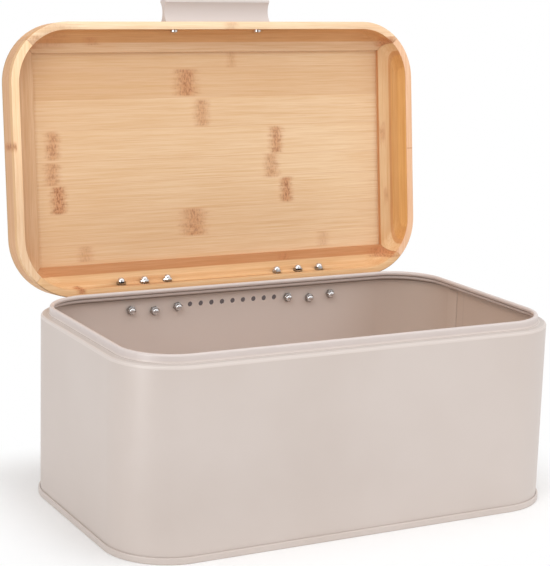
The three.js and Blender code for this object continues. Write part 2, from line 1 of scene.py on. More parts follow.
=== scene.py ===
# %% [markdown]
# # A bread box with a swinging bamboo lid
# The real object is a beige powder-coated steel tub. A heavy bamboo lid stands open on two
# hinges at the rear. The measured solids arrive first, as a frame that never moves, and
# every finer piece is then made in the same place and rides on the same body.

# %% Load the frame
import json
import math
from functools import partialmethod

import bmesh
import bpy
from mathutils import Matrix, Vector


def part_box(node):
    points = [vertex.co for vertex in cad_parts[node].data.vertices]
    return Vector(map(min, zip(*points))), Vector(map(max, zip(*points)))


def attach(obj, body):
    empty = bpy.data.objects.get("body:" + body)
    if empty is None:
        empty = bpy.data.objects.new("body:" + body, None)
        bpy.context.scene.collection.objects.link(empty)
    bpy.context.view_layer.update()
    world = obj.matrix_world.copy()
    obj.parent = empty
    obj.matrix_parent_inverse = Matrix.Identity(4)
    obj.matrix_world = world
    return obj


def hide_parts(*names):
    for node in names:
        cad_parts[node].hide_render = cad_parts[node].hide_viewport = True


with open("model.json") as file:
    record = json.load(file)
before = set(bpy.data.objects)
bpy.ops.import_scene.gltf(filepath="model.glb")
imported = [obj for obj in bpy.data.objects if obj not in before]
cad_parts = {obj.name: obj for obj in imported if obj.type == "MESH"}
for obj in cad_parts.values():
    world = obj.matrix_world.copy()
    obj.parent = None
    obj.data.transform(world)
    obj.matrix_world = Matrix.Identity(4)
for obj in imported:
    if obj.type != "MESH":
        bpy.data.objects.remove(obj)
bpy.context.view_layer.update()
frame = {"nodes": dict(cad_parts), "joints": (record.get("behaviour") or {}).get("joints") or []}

# %% [markdown]
# ## Sizes
# A maker's drawing is in millimetres, so the sizes are too, measured from the middle of the
# tub's foot with the lid shut. Two matrices bring a finished mesh to its place in metres:
# one for the tub, and one that also swings the lid open about the hinge's axis.

# %% Drawing sizes in millimetres
MM = 0.001
WIDTH, DEPTH, CORNER = 420.0, 250.0, 55.0
SHEET = 1.0
SHOULDER, SHOULDER_ROUND = 164.0, 2.5
LIP_INSET, LIP_RISE, LIP_FILLET, BEAD = 7.6, 7.3, 1.2, 2.0
RIM_GAP, LID_HEIGHT, RIM_WIDTH = 0.5, 29.5, 7.0
RIM_Z = SHOULDER + RIM_GAP
SEAT_GAP = 0.3
REAR = DEPTH / 2
CORNER_SEGMENTS = 20
QUARTER = math.pi / 2

wall_low, wall_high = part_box("body_wall")
TUB_Y = (wall_low.y + wall_high.y) / 2
hinge = frame["joints"][0]
AXIS = Vector(hinge["pos_m"])
SWING = math.radians(hinge["range_deg"][1])
TUB_PLACE = Matrix.Translation((0, TUB_Y, 0)) @ Matrix.Scale(MM, 4)
LID_SWING = Matrix.Translation(AXIS) @ Matrix.Rotation(-SWING, 4, "X") @ Matrix.Translation(-AXIS)
LID_PLACE = LID_SWING @ TUB_PLACE
print("tub centre", round(TUB_Y / MM, 2), "mm, lid open by", round(math.degrees(SWING), 1))

# %% [markdown]
# ## The camera
# The photograph looks at the left front corner from a little above the rim, with a slight
# roll. The camera stands where that perspective comes from, and its long lens keeps the
# tub's sides nearly parallel.

# %% Camera at the photograph's angle
VIEW_AZIMUTH, VIEW_ELEVATION, VIEW_ROLL = -28.36, 11.79, 1.74
VIEW_DISTANCE, VIEW_LENS, SENSOR_WIDTH, CLIP_END = 1.50313, 108.59, 36, 50
VIEW_TARGET = Vector((-0.02171, TUB_Y, 0.19548))

turn, lift, roll = (math.radians(a) for a in (VIEW_AZIMUTH, VIEW_ELEVATION, VIEW_ROLL))
back = Vector((math.sin(turn) * math.cos(lift), -math.cos(turn) * math.cos(lift), math.sin(lift)))
level = Vector((0, 0, 1)).cross(back).normalized()
upright = back.cross(level)
right = math.cos(roll) * level + math.sin(roll) * upright
up = math.cos(roll) * upright - math.sin(roll) * level
view_turn = Matrix((right, up, back)).transposed().to_4x4()

camera = bpy.data.objects.new("camera", bpy.data.cameras.new("camera"))
camera.data.lens = VIEW_LENS
camera.data.sensor_width = SENSOR_WIDTH
camera.data.clip_end = CLIP_END
camera.matrix_world = Matrix.Translation(VIEW_TARGET + back * VIEW_DISTANCE) @ view_turn
bpy.context.scene.collection.objects.link(camera)
bpy.context.scene.camera = camera
print("camera at", [round(v, 3) for v in camera.location])

# %% [markdown]
# ## Writing shader maths as Python
# A finish is a small network of nodes. `Value` wraps one socket, so that sums of masks read
# like sums, and `Network.node` is the one method that makes a node: its type, its settings,
# and then what its sockets hold. Distances inside a finish are in millimetres too.


# %% Finish kit
def rgb(red, green, blue):
    """A screen colour from 0 to 255 as the linear colour that a shader needs."""
    def linear(c):
        c = c / 255
        return c / 12.92 if c <= 0.04045 else ((c + 0.055) / 1.055) ** 2.4
    return (linear(red), linear(green), linear(blue), 1.0)


class Value:
    """A number that varies over a surface."""

    def __init__(self, network, socket):
        self.network, self.socket = network, socket

    def work(self, operation, other=0.0, swapped=False, clamp=False):
        """One Math node on this value and another, which comes first where it is swapped."""
        first, second = (other, self) if swapped else (self, other)
        settings = {"operation": operation, "use_clamp": clamp}
        return self.network.value("ShaderNodeMath", settings, {0: first, 1: second})

    __add__ = partialmethod(work, "ADD")
    __radd__ = partialmethod(work, "ADD")
    __sub__ = partialmethod(work, "SUBTRACT")
    __rsub__ = partialmethod(work, "SUBTRACT", swapped=True)
    __mul__ = partialmethod(work, "MULTIPLY")
    __rmul__ = partialmethod(work, "MULTIPLY")
    __truediv__ = partialmethod(work, "DIVIDE")
    __pow__ = partialmethod(work, "POWER")
    __abs__ = partialmethod(work, "ABSOLUTE")
    over = partialmethod(work, "MAXIMUM")
    clamped = partialmethod(work, "ADD", 0.0, clamp=True)

    def ease(self, low, high):
        """0 below low, 1 above high, and a smooth step between them."""
        return self.network.value(
            "ShaderNodeMapRange", {"interpolation_type": "SMOOTHSTEP"},
            {0: self, 1: low, 2: high, 3: 0.0, 4: 1.0})

    def within(self, low, high, blur):
        """1 from low to high, and 0 where it is more than a blur outside them."""
        return self.ease(low - blur, low) * (1 - self.ease(high, high + blur))


class Network:
    """A tree of shader nodes."""

    def __init__(self, tree):
        self.tree = tree
        self.tree.nodes.clear()

    def node(self, kind, settings=None, inputs=None):
        """Makes any node: its settings or a ramp's stops come first, and then its sockets."""
        made = self.tree.nodes.new(kind)
        for key, value in (settings or {}).items():
            if key == "stops":
                ramp = made.color_ramp.elements
                while len(ramp) < len(value):
                    ramp.new(0.5)
                for element, (place, colour) in zip(ramp, value):
                    element.position, element.color = place, colour
            else:
                setattr(made, key, value)
        for key, value in (inputs or {}).items():
            self.feed(made.inputs[key], value)
        return made

    def feed(self, socket, value):
        """Links a value or a socket to a socket, or sets the socket to a constant."""
        value = value.socket if isinstance(value, Value) else value
        if isinstance(value, bpy.types.NodeSocket):
            self.tree.links.new(value, socket)
        else:
            socket.default_value = value

    def value(self, kind, settings=None, inputs=None):
        return Value(self, self.node(kind, settings, inputs).outputs[0])

    def mix(self, factor, first, second, blend="MIX"):
        settings = {"data_type": "RGBA", "blend_type": blend}
        return self.node("ShaderNodeMix", settings, {0: factor, 6: first, 7: second}).outputs[2]

    def mapped(self, vector=None, location=(0, 0, 0), rotation=(0, 0, 0), scale=(1, 1, 1)):
        """Object coordinates, or another vector, that are stretched, turned and moved."""
        if vector is None:
            vector = self.node("ShaderNodeTexCoord").outputs["Object"]
        inputs = {"Vector": vector, "Location": location, "Rotation": rotation, "Scale": scale}
        return self.node("ShaderNodeMapping", {"vector_type": "POINT"}, inputs).outputs[0]

    def split(self, vector):
        """X, Y and Z of a place in metres, each as a value in millimetres."""
        made = self.node("ShaderNodeSeparateXYZ", {}, {0: vector})
        return [Value(self, output) * (1 / MM) for output in made.outputs]

    def noise(self, vector, scale, detail=2.0, roughness=0.5):
        inputs = {"Vector": vector, "Scale": scale, "Detail": detail, "Roughness": roughness}
        return self.value("ShaderNodeTexNoise", {}, inputs)


class Finish(Network):
    """A material with one Principled shader."""

    def __init__(self, name, **uniform):
        self.material = bpy.data.materials.new(name)
        self.material.use_nodes = True
        super().__init__(self.material.node_tree)
        self.shader = self.node("ShaderNodeBsdfPrincipled")
        for socket, value in uniform.items():
            self.shader.inputs[socket.replace("_", " ")].default_value = value
        self.end = self.node("ShaderNodeOutputMaterial", {}, {"Surface": self.shader.outputs[0]})

    def paint(self, colour=None, roughness=None, height=None, depth=0.0):
        """Feeds what changes over the surface, with a height in metres as a bump."""
        for name, value in (("Base Color", colour), ("Roughness", roughness)):
            if value is not None:
                self.feed(self.shader.inputs[name], value)
        if height is not None:
            inputs = {"Height": height, "Distance": depth, "Strength": 1.0}
            bump = self.node("ShaderNodeBump", {}, inputs)
            self.feed(self.shader.inputs["Normal"], bump.outputs[0])
        return self.material


# %% [markdown]
# ## Powder coat
# The steel is coated with a matte beige powder that melts in an oven. A fine noise gives its
# faint orange peel, and a broad one changes the tone by a hair, so that large walls don't
# look like plastic. Light and shade are painted into the coat too: painted bounce light makes
# the inside warmer, and the shoulder and lip carry a painted highlight. The step of the
# shoulder and the creases under the bead carry painted shade, the root of the lip and the
# wall below the shoulder a painted highlight, and the lap's edges a painted shadow line.

# %% Powder-coated steel
PEEL_SCALE, PEEL_DETAIL, PEEL_DEPTH = 1500.0, 1.0, 0.00003
TONE_SCALE, TONE_DETAIL, TONE_RANGE = 7.0, 3.0, (0.3, 0.7)
COAT_ROUGH, TONE_ROUGH, PEEL_ROUGH = 0.34, 0.06, 0.05
COAT_LIGHT, COAT_DARK = rgb(213, 201, 194), rgb(208, 195, 187)
PULL_LIGHT, PULL_DARK = rgb(216, 205, 200), rgb(211, 200, 195)
# Painted bounce light inside the tub: paler at the rear, and warmer towards the right wall, where light
# from the bamboo lid falls back.
BOUNCE_LIGHT_REAR, BOUNCE_LIGHT_SIDE = rgb(222, 207, 198), rgb(213, 194, 180)
SKIN, INSIDE_TOP = (0.4 * SHEET, 0.9 * SHEET), (SHOULDER - 8, SHOULDER - 2)
TO_SIDE, SIDE_WALL = (0.2 * WIDTH, 0.5 * WIDTH), (WIDTH / 2 - 4, WIDTH / 2 - 3)
LIP_TOP = SHOULDER + LIP_RISE
# A painted highlight over the shoulder's top and the lip, with the heights where it starts and ends.
LIP_HIGHLIGHT, LIP_FOOT, LIP_END = rgb(217, 205, 200), (SHOULDER - 0.6, SHOULDER), (LIP_TOP, 1.1 * LIP_TOP)
# Painted shade for the creases and the lap's edges, and a painted highlight for the root of the lip.
PAINTED_SHADE, ROOT_HIGHLIGHT = rgb(126, 110, 100), rgb(226, 214, 207)
# Painted shade on the step of the shoulder, and a painted highlight on the wall just below it.
STEP_SHADE, BELOW_HIGHLIGHT = rgb(200, 189, 182), rgb(220, 208, 201)
BAND_BLUR = 0.3
# Bands of painted light and shade round the shoulder: tone, share, inset range and height range.
LIGHT_AND_SHADE_BANDS = [
    (ROOT_HIGHLIGHT, 1.0, (6.3, 7.7), (164.0, 165.7)), (STEP_SHADE, 1.0, (1.9, 6.0), (163.2, 164.3)),
    (BELOW_HIGHLIGHT, 1.0, (-0.5, 1.6), (161.0, 162.9)), (PAINTED_SHADE, 0.75, (8.2, 9.6), (166.4, 167.3)),
    (PAINTED_SHADE, 0.45, (6.8, 8.4), (162.9, 164.2)), (PAINTED_SHADE, 0.8, (1.0, 8.0), (161.0, 162.9))]
# Painted shadow lines beside the lap strip's edges: place along Y and share, and how each line fades.
LAP_SHADOWS, LAP_SHADOW_FADE = [(52.3, 0.2), (41.5, 0.07)], (0.5, 1.2)


def plan_inset(x, y):
    """How far a point lies inside the tub's rounded plan."""
    from_x = (abs(x) - (WIDTH / 2 - CORNER)).over(0.0)
    from_y = (abs(y) - (DEPTH / 2 - CORNER)).over(0.0)
    return CORNER - (from_x * from_x + from_y * from_y) ** 0.5


def powder_coat(name, light, dark):
    """The coat, with painted bounce light inside, a painted highlight on the lip, bands of painted light
    and shade at the shoulder, and painted shadow lines at the lap.
    """
    finish = Finish(name, Metallic=0.0, IOR=1.45, Specular_IOR_Level=0.5)
    place = finish.mapped()
    peel = finish.noise(place, PEEL_SCALE, PEEL_DETAIL)
    tone = finish.noise(place, TONE_SCALE, TONE_DETAIL).ease(*TONE_RANGE)
    x, y, z = finish.split(finish.mapped(location=(0, -TUB_Y, 0)))
    inset = plan_inset(x, y)
    inside = inset.ease(*SKIN) * (1 - z.ease(*INSIDE_TOP))
    colour = finish.mix(tone, dark, light)
    # painted bounce light on the inside
    colour = finish.mix(inside, colour, finish.mix(x.ease(*TO_SIDE), BOUNCE_LIGHT_REAR, BOUNCE_LIGHT_SIDE))
    # painted highlight on the shoulder and lip
    colour = finish.mix(z.ease(*LIP_FOOT) * (1 - z.ease(*LIP_END)), colour, LIP_HIGHLIGHT)
    # painted highlights and painted shade in bands round the shoulder and under the bead
    for painted_tone, share, inset_range, z_range in LIGHT_AND_SHADE_BANDS:
        band = inset.within(*inset_range, BAND_BLUR) * z.within(*z_range, BAND_BLUR)
        colour = finish.mix(share * band, colour, painted_tone)
    side_wall = inside * x.ease(*SIDE_WALL)
    # painted shadow lines beside the lap strip's edges
    for edge_y, share in LAP_SHADOWS:
        line = side_wall * (1 - abs(y - edge_y).ease(*LAP_SHADOW_FADE))
        colour = finish.mix(share * line, colour, PAINTED_SHADE)
    roughness = COAT_ROUGH + TONE_ROUGH * tone + PEEL_ROUGH * peel
    return finish.paint(colour, roughness, peel, PEEL_DEPTH)


coat = powder_coat("beige_powder_coat", COAT_LIGHT, COAT_DARK)
pull_coat = powder_coat("beige_handle_coat", PULL_LIGHT, PULL_DARK)
print("finishes", coat.name, pull_coat.name)

# %% [markdown]
# ## Bamboo
# Bamboo boards are glued from split canes. Each strip has its own tone, long straight fibres
# run along it, and every cane's joint leaves a brown patch of short dark fibre ends across
# the strip. The pattern lives in the lid's own coordinates, found by turning the open lid
# back to where it lies flat, so the strips follow the wood and not the room. Shade is painted
# in as well: the panel deepens towards the left, the front rail's pocket wall and the ledges
# carry painted shade, and a painted shadow line runs along the rear rail's outer rim edge.

# %% Fibres that run along a strip
GRAIN_FINE, GRAIN_BROAD, FIBRE_STRETCH, GRAIN_DEPTH = 1500.0, 330.0, 0.018, 0.00005
FINE_RANGE, BROAD_RANGE, FINE_SHARE = (0.34, 0.68), (0.3, 0.7), 0.6
VEIN_SCALE, VEIN_RANGE, VEIN_SHARE = 0.45 * GRAIN_FINE, (0.56, 0.74), 0.25
HAZE_STRETCH, HAZE_SCALE, HAZE_RANGE, HAZE_SHARE = (0.35, 1, 1), 16.0, (0.35, 0.75), 0.12
BAMBOO_PALE, BAMBOO_MID, BAMBOO_DEEP = rgb(254, 224, 187), rgb(238, 198, 152), rgb(206, 150, 98)
JOINT_TAN, JOINT_BROWN = rgb(206, 140, 96), rgb(146, 84, 50)
LID_TURN = Matrix.Rotation(SWING, 3, "X")
LID_SHIFT = Vector((0, AXIS.y - TUB_Y, AXIS.z - RIM_Z * MM)) - LID_TURN @ AXIS


def fibres(finish, place, along, seed):
    """The wood's ground colour, and its grain and finest lines for the sheen and the bump."""
    squeeze = (FIBRE_STRETCH, 1, 1) if along == "X" else (1, FIBRE_STRETCH, 1)
    inputs = {0: place, 1: (seed, seed, seed)}
    offset = finish.node("ShaderNodeVectorMath", {"operation": "ADD"}, inputs).outputs[0]
    lines = finish.mapped(offset, scale=squeeze)
    fine = finish.noise(lines, GRAIN_FINE, 3.0, 0.6)
    broad = finish.noise(lines, GRAIN_BROAD, 2.0)
    veins = finish.noise(lines, VEIN_SCALE, 4.0, 0.65).ease(*VEIN_RANGE)
    grain = FINE_SHARE * fine.ease(*FINE_RANGE) + (1 - FINE_SHARE) * broad.ease(*BROAD_RANGE)
    grain = grain.clamped()
    haze = finish.noise(finish.mapped(place, scale=HAZE_STRETCH), HAZE_SCALE, 2.0).ease(*HAZE_RANGE)
    colour = finish.mix(grain, BAMBOO_PALE, BAMBOO_MID)
    return finish.mix(haze * HAZE_SHARE + veins * VEIN_SHARE, colour, BAMBOO_DEEP), grain, fine


# %% Strips and bands with their own tones, painted shade and a painted shadow line
# One share darkens the panel towards its left side, as painted shade.
GLUE_LINE, GLUE_SHARE, STRIP_SHARE, LEFT_SHADE_SHARE, STRIP_BLUR = 0.45, 0.3, 0.4, 0.3, 0.1
LAYER_BLUR, BAND_SMOOTH, INNER_SIDE, LEDGE_BACK = 0.4, 0.25, (5.2, 6.6), (22.5, 23.5)
RIM_DEPTH, RIM_FAR_X, RIM_FAR_Y = (0.5, 1.1), (60, 180), (-50, 60)
# A painted shadow line along the rear rail's outer edge at the rim, where the lid meets the tub's bead.
GAP_SHADOW_INSET, GAP_SHADOW_DEPTH, GAP_SHADOW_REAR, GAP_SHADOW_SHARE = (0.3, 1.1), (0.6, 1.4), (98, 116), 0.8


def stepped(finish, value, stops, smooth):
    """A tone for each band of a distance, with a short blend between bands."""
    low, high = stops[0][0], stops[-1][0]
    placed = []
    for (edge, tone), following in zip(stops, stops[1:] + [stops[-1]]):
        start = edge + (smooth if placed else 0)
        end = max(start, following[0] - smooth)
        placed += [((stop - low) / (high - low), (*tone, 1)) for stop in (start, end)]
    share = (value - low) / (high - low)
    return finish.node("ShaderNodeValToRGB", {"stops": placed[:-1]}, {0: share}).outputs[0]


def glued_strips(finish, colour, point, strips):
    """The panel: painted shade that deepens towards the left, a depth for each strip and a glue line
    between them.
    """
    x, y, _ = point
    # painted shade, deeper towards the panel's left side
    colour = finish.mix((0.5 - x / WIDTH).clamped() * LEFT_SHADE_SHARE, colour, BAMBOO_DEEP)
    depths = stepped(finish, y, [(edge, (depth, depth, depth)) for edge, depth in strips], STRIP_BLUR)
    colour = finish.mix(Value(finish, depths) * STRIP_SHARE, colour, BAMBOO_DEEP)
    for edge, _ in strips[1:-1]:
        line = 1 - abs(y - edge).ease(0.0, GLUE_LINE)
        colour = finish.mix(line * GLUE_SHARE, colour, JOINT_TAN)
    return colour


def rail_tones(finish, point, along, bands, layers, rims):
    """A rail's strips: layers up its outer face, bands across its inner side, some painted in shade, its
    rim, and a painted shadow line at the rear rim's outer edge.
    """
    x, y, z = point
    inset = plan_inset(x, y)
    reach = DEPTH / 2 - abs(y) if along == "X" else WIDTH / 2 - abs(x)
    outside, inside = stepped(finish, z, layers, LAYER_BLUR), stepped(finish, reach, bands, BAND_SMOOTH)
    inner = inset.ease(*INNER_SIDE) * (1 - z.ease(*LEDGE_BACK))
    tones = finish.mix(inner, outside, inside)
    far = x.ease(*RIM_FAR_X).over(y.ease(*RIM_FAR_Y))
    rim_tone = finish.mix(far, (*rims[0], 1.0), (*rims[1], 1.0))
    tones = finish.mix(1 - z.ease(*RIM_DEPTH), tones, rim_tone)
    # a painted shadow line along the rear rail's outer edge at the rim
    edge = (1 - inset.ease(*GAP_SHADOW_INSET)) * (1 - z.ease(*GAP_SHADOW_DEPTH)) * y.ease(*GAP_SHADOW_REAR)
    return finish.mix(edge * GAP_SHADOW_SHARE, tones, (*GAP_SHADOW_BROWN, 1.0))


# %% The joints of the canes
MARK_FADE, MARK_EDGE, MARK_DEPTH, MARK_SHARE = 1.35, (0.8, 1.06), (20.5, 24.6), 0.7
RAGGED_STRETCH, RAGGED_SCALE, RAGGED_REACH = 0.22, 420.0, 1.5
SPECKLE_STRETCH, SPECKLE_SCALE, SPECKLE_RANGE = (1.9, 0.7, 1), 330.0, (0.4, 0.68)
SPECKLE_POWER, RAIL_SPECKLE, PANEL_SPECKLE = 1.6, 0.5, 0.75


def joint_mark(u, v, ragged, mark):
    """A cane's joint: ragged where its fibres end, cut off sharply at the strip's edges."""
    centre_u, centre_v, half_u, half_v, strength = mark
    along = abs((u - centre_u) / half_u) + ragged
    across = abs((v - centre_v) / half_v)
    return (1 - along.ease(0.0, MARK_FADE)) * (1 - across.ease(*MARK_EDGE)) * strength


def joints(finish, colour, place, point, along, marks, speckled, deepest):
    """Brown patches at the joints, with dark fibre ends, that fade out deep in the frame."""
    x, y, z = point
    u, v = (x, y) if along == "X" else (y, x)
    stretch = (RAGGED_STRETCH, 1, 1) if along == "X" else (1, RAGGED_STRETCH, 1)
    ragged = finish.noise(finish.mapped(place, scale=stretch), RAGGED_SCALE, 3.0, 0.6)
    ragged = (ragged - 0.5) * RAGGED_REACH
    speckle = finish.noise(finish.mapped(place, scale=SPECKLE_STRETCH), SPECKLE_SCALE, 2.5, 0.6)
    total = joint_mark(u, v, ragged, marks[0])
    for mark in marks[1:]:
        total = total.over(joint_mark(u, v, ragged, mark))
    if deepest:
        total = total * (1 - z.ease(*deepest))
    colour = finish.mix((total * MARK_SHARE).clamped(), colour, JOINT_TAN)
    dark = total ** SPECKLE_POWER * speckle.ease(*SPECKLE_RANGE) * speckled
    return finish.mix(dark.clamped(), colour, JOINT_BROWN)


# %% The bamboo of the panel and of the four rails
WOOD_ROUGH, GRAIN_ROUGH = 0.5, 0.14
PANEL_STRIPS = [
    (-106.0, 0.6), (-83.4, 0.8), (-55.0, 0.16), (-26.8, 0.0), (2.0, 0.04),
    (22.7, 0.05), (50.5, 0.18), (79.1, 0.04), (106.0, 0.04)]
PANEL_MARKS = [
    (-27.7, -69.0, 13.0, 13.5, 0.9), (-12.4, -40.0, 9.0, 13.5, 0.68), (20.6, -90.0, 6.0, 8.0, 0.4),
    (-164.6, -13.0, 8.0, 14.0, 0.8), (-165.9, 12.9, 9.0, 11.0, 0.7), (-160.5, 37.0, 8.5, 13.5, 1.0),
    (67.2, -12.0, 8.5, 14.0, 0.85), (61.8, 12.9, 9.5, 12.5, 0.65), (77.8, 37.0, 7.5, 13.0, 0.95),
    (-23.8, 64.0, 15.0, 14.0, 0.75), (-135.9, 88.0, 9.0, 8.0, 0.45), (118.0, 88.0, 8.0, 8.0, 0.35)]
# Multipliers for the rails' wood. The shaded one on the front rail's pocket wall and the reddish one at
# the ledges are painted shade.
WHEAT, SHADED, LEDGE_SHADE = (0.89, 0.79, 0.67), (0.78, 0.57, 0.39), (0.7, 0.47, 0.34)
ROSY, TAN, OCHRE = (0.8, 0.7, 0.64), (0.84, 0.75, 0.7), (0.86, 0.72, 0.58)
AMBER, UMBER, HONEY = (0.88, 0.78, 0.66), (0.68, 0.58, 0.48), (0.84, 0.64, 0.38)
BUTTER, CREAM, WALNUT = (0.94, 0.78, 0.48), (0.93, 0.87, 0.77), (0.79, 0.64, 0.56)
# The colour of the painted shadow line at the rear rail's rim.
GAP_SHADOW_BROWN = (0.36, 0.28, 0.22)
RAIL_LAYERS = {
    "front": [(0.0, OCHRE), (9.0, TAN), (17.0, OCHRE), (30.0, TAN)],
    "rear": [(0.0, TAN), (12.0, OCHRE), (20.0, TAN), (30.0, OCHRE)],
    "left": [(0.0, AMBER), (7.0, WALNUT), (15.0, WALNUT), (23.0, UMBER), (30.0, UMBER)],
    "right": [(0.0, TAN), (10.0, OCHRE), (19.0, TAN), (30.0, OCHRE)]}
# Bands across each rail's inner side. The front rail's pocket wall, which faces down while the lid stands
# open, is painted in shade, and the rear ledge and the right ledge's end carry painted shade.
RAIL_BANDS = {
    "front": [(0.0, SHADED), (18.3, TAN), (30.0, TAN)],
    "rear": [(0.0, AMBER), (9.0, OCHRE), (13.0, WHEAT), (18.3, LEDGE_SHADE), (30.0, LEDGE_SHADE)],
    "left": [(0.0, ROSY), (15.5, TAN), (18.0, ROSY), (30.0, ROSY)],
    "right": [
        (0.0, BUTTER), (8.0, HONEY), (12.5, SHADED), (15.0, CREAM), (26.9, LEDGE_SHADE), (30.0, LEDGE_SHADE)]}
RAIL_RIMS = {
    "front": ((1.08, 1.15, 1.22), (1.02, 0.99, 1.02)),
    "rear": ((0.92, 0.82, 0.7), (0.92, 0.82, 0.7)),
    "left": ((1.16, 1.12, 1.1), (0.97, 0.94, 0.95)),
    "right": ((1.0, 0.88, 0.89), (1.0, 0.88, 0.89))}
RAIL_MARKS = {
    "front": [
        (-168.0, -113.0, 26.0, 11.0, 0.4), (-184.0, -107.0, 13.0, 6.0, 0.7),
        (187.0, -106.0, 7.0, 5.0, 1.0), (-125.0, -108.0, 9.0, 4.0, 0.5), (10.0, -121.0, 8.0, 4.0, 0.4)],
    "rear": [
        (-150.0, 119.0, 5.0, 3.2, 1.2), (180.0, 105.0, 14.0, 5.0, 1.0),
        (-84.0, 115.0, 30.0, 4.0, 0.4), (71.0, 102.5, 8.0, 3.5, 0.8)],
    "left": [(-14.0, -210.0, 4.5, 3.0, 1.0)],
    "right": [(0.6, 207.0, 0.7, 4.0, 0.9), (-15.0, 187.0, 12.0, 4.0, 0.6), (48.0, 190.0, 9.0, 3.0, 0.5)]}


def bamboo(name, along, marks, seed=0.0, strips=None, rail=None):
    """The wood of a board with glued strips, or of a rail with its bands, layers and rim."""
    finish = Finish(name, Metallic=0.0, IOR=1.45, Specular_IOR_Level=0.2)
    place = finish.mapped(location=LID_SHIFT, rotation=(SWING, 0, 0))
    point = finish.split(place)
    colour, grain, fine = fibres(finish, place, along, seed)
    if strips:
        colour = glued_strips(finish, colour, point, strips)
    if rail:
        colour = finish.mix(1.0, colour, rail_tones(finish, point, along, *rail), "MULTIPLY")
    speckled, deepest = (RAIL_SPECKLE, MARK_DEPTH) if rail else (PANEL_SPECKLE, None)
    colour = joints(finish, colour, place, point, along, marks, speckled, deepest)
    return finish.paint(colour, WOOD_ROUGH + GRAIN_ROUGH * grain, fine, GRAIN_DEPTH)


panel_wood = bamboo("bamboo_panel", "X", PANEL_MARKS, strips=PANEL_STRIPS)
rail_wood = {}
for number, side in enumerate(RAIL_BANDS, 1):
    rail_wood[side] = bamboo(
        f"bamboo_rail_{side}", "X" if side in ("front", "rear") else "Y", RAIL_MARKS[side],
        seed=3.1 * number, rail=(RAIL_BANDS[side], RAIL_LAYERS[side], RAIL_RIMS[side]))
print("finishes", panel_wood.name, *(wood.name for wood in rail_wood.values()))

# %% [markdown]
# ## Bright plating
# The screws, nuts and hinges are nickel plated. A mirror-like metal needs something to
# reflect, and a little unevenness in its roughness keeps it from looking like glass. The
# flats of a nut take a darker copy of the plate, which is painted shade, and the hinges are
# the dullest.


# %% Nickel plate
SMEAR_SCALE, SMEAR_ROUGH, SMEAR_DEPTH = 260.0, 0.1, 0.00001


def nickel(name, light, dark, metal=1.0, polish=0.09):
    finish = Finish(name, Metallic=metal)
    smear = finish.noise(finish.mapped(), SMEAR_SCALE, 2.0)
    colour = finish.mix(smear, light, dark)
    return finish.paint(colour, polish + SMEAR_ROUGH * smear, smear, SMEAR_DEPTH)


plate = nickel("nickel_plate", rgb(228, 227, 228), rgb(206, 205, 206), metal=0.85, polish=0.22)
hinge_plate = nickel("nickel_hinges", rgb(190, 188, 186), rgb(168, 166, 163), polish=0.2)
# A darker copy of the plate for the nuts' flats, as painted shade.
shaded_flats = nickel("nickel_flats_shaded", rgb(188, 187, 186), rgb(150, 148, 146))
print("finishes", plate.name, hinge_plate.name, shaded_flats.name)

# %% [markdown]
# ## Mesh helpers
# A piece is modelled in millimetres with bmesh operators, moved to its place by a matrix,
# and then handed over: it gets its finish, smooth shading that stops at sharp edges, and the
# body that it rides on. Its object stays at the origin, because its place is in its mesh.

# %% Hand a bmesh over as a finished piece
SHARP = math.radians(38)
MERGE = 0.001


def as_object(name, bm, place):
    """Moves a bmesh to its place and makes it an object of the scene."""
    bmesh.ops.transform(bm, matrix=place, verts=bm.verts)
    mesh = bpy.data.meshes.new(name)
    bm.to_mesh(mesh)
    bm.free()
    made = bpy.data.objects.new(name, mesh)
    bpy.context.scene.collection.objects.link(made)
    return made


def finish_piece(name, bm, place, body, nodes, slot, *materials, edge=0.0):
    """A piece of the box, with a small bevel on its edges where edge is more than nothing."""
    bmesh.ops.remove_doubles(bm, verts=bm.verts, dist=MERGE)
    piece = as_object(name, bm, place)
    piece.data.shade_smooth()
    piece.data.set_sharp_from_angle(angle=SHARP)
    for material in materials:
        piece.data.materials.append(material)
    if edge:
        bevel = piece.modifiers.new("eased_edges", "BEVEL")
        bevel.width, bevel.segments = edge * MM, 2
        bevel.limit_method, bevel.angle_limit = "ANGLE", SHARP
        bevel.harden_normals = True
        bevel.use_clamp_overlap = True
    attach(piece, body)
    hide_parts(*nodes)
    print(name, "faces", len(piece.data.polygons))
    return piece


def cut_with(piece, cutter_bm, place):
    """Cuts holes through a piece with an exact Boolean, and keeps only the result."""
    cutter = as_object("cutter", cutter_bm, place)
    boolean = piece.modifiers.new("holes", "BOOLEAN")
    boolean.object, boolean.operation, boolean.solver = cutter, "DIFFERENCE", "EXACT"
    bpy.context.view_layer.update()
    graph = bpy.context.evaluated_depsgraph_get()
    cut = bpy.data.meshes.new_from_object(piece.evaluated_get(graph))
    piece.modifiers.clear()
    old, piece.data = piece.data, cut
    bpy.data.meshes.remove(old)
    bpy.data.objects.remove(cutter)
    cut.set_sharp_from_angle(angle=SHARP)
    print(piece.name, "after its cut, faces", len(cut.polygons))


# %% Profiles, drags and rods
def verts_of(geom):
    return [g for g in geom if isinstance(g, bmesh.types.BMVert)]


def edges_of(geom):
    return [g for g in geom if isinstance(g, bmesh.types.BMEdge)]


def face_out(bm):
    bmesh.ops.recalc_face_normals(bm, faces=bm.faces)


def fill_ends(bm):
    """Closes every open loop with one face."""
    bmesh.ops.holes_fill(bm, edges=[e for e in bm.edges if e.is_boundary], sides=0)


def round_off(bm, geom, offset, segments, affect="EDGES"):
    """Bevels edges, or the corners of a flat face."""
    bmesh.ops.bevel(
        bm, geom=geom, offset=offset, offset_type="OFFSET", segments=segments, profile=0.5,
        affect=affect, material=-1)


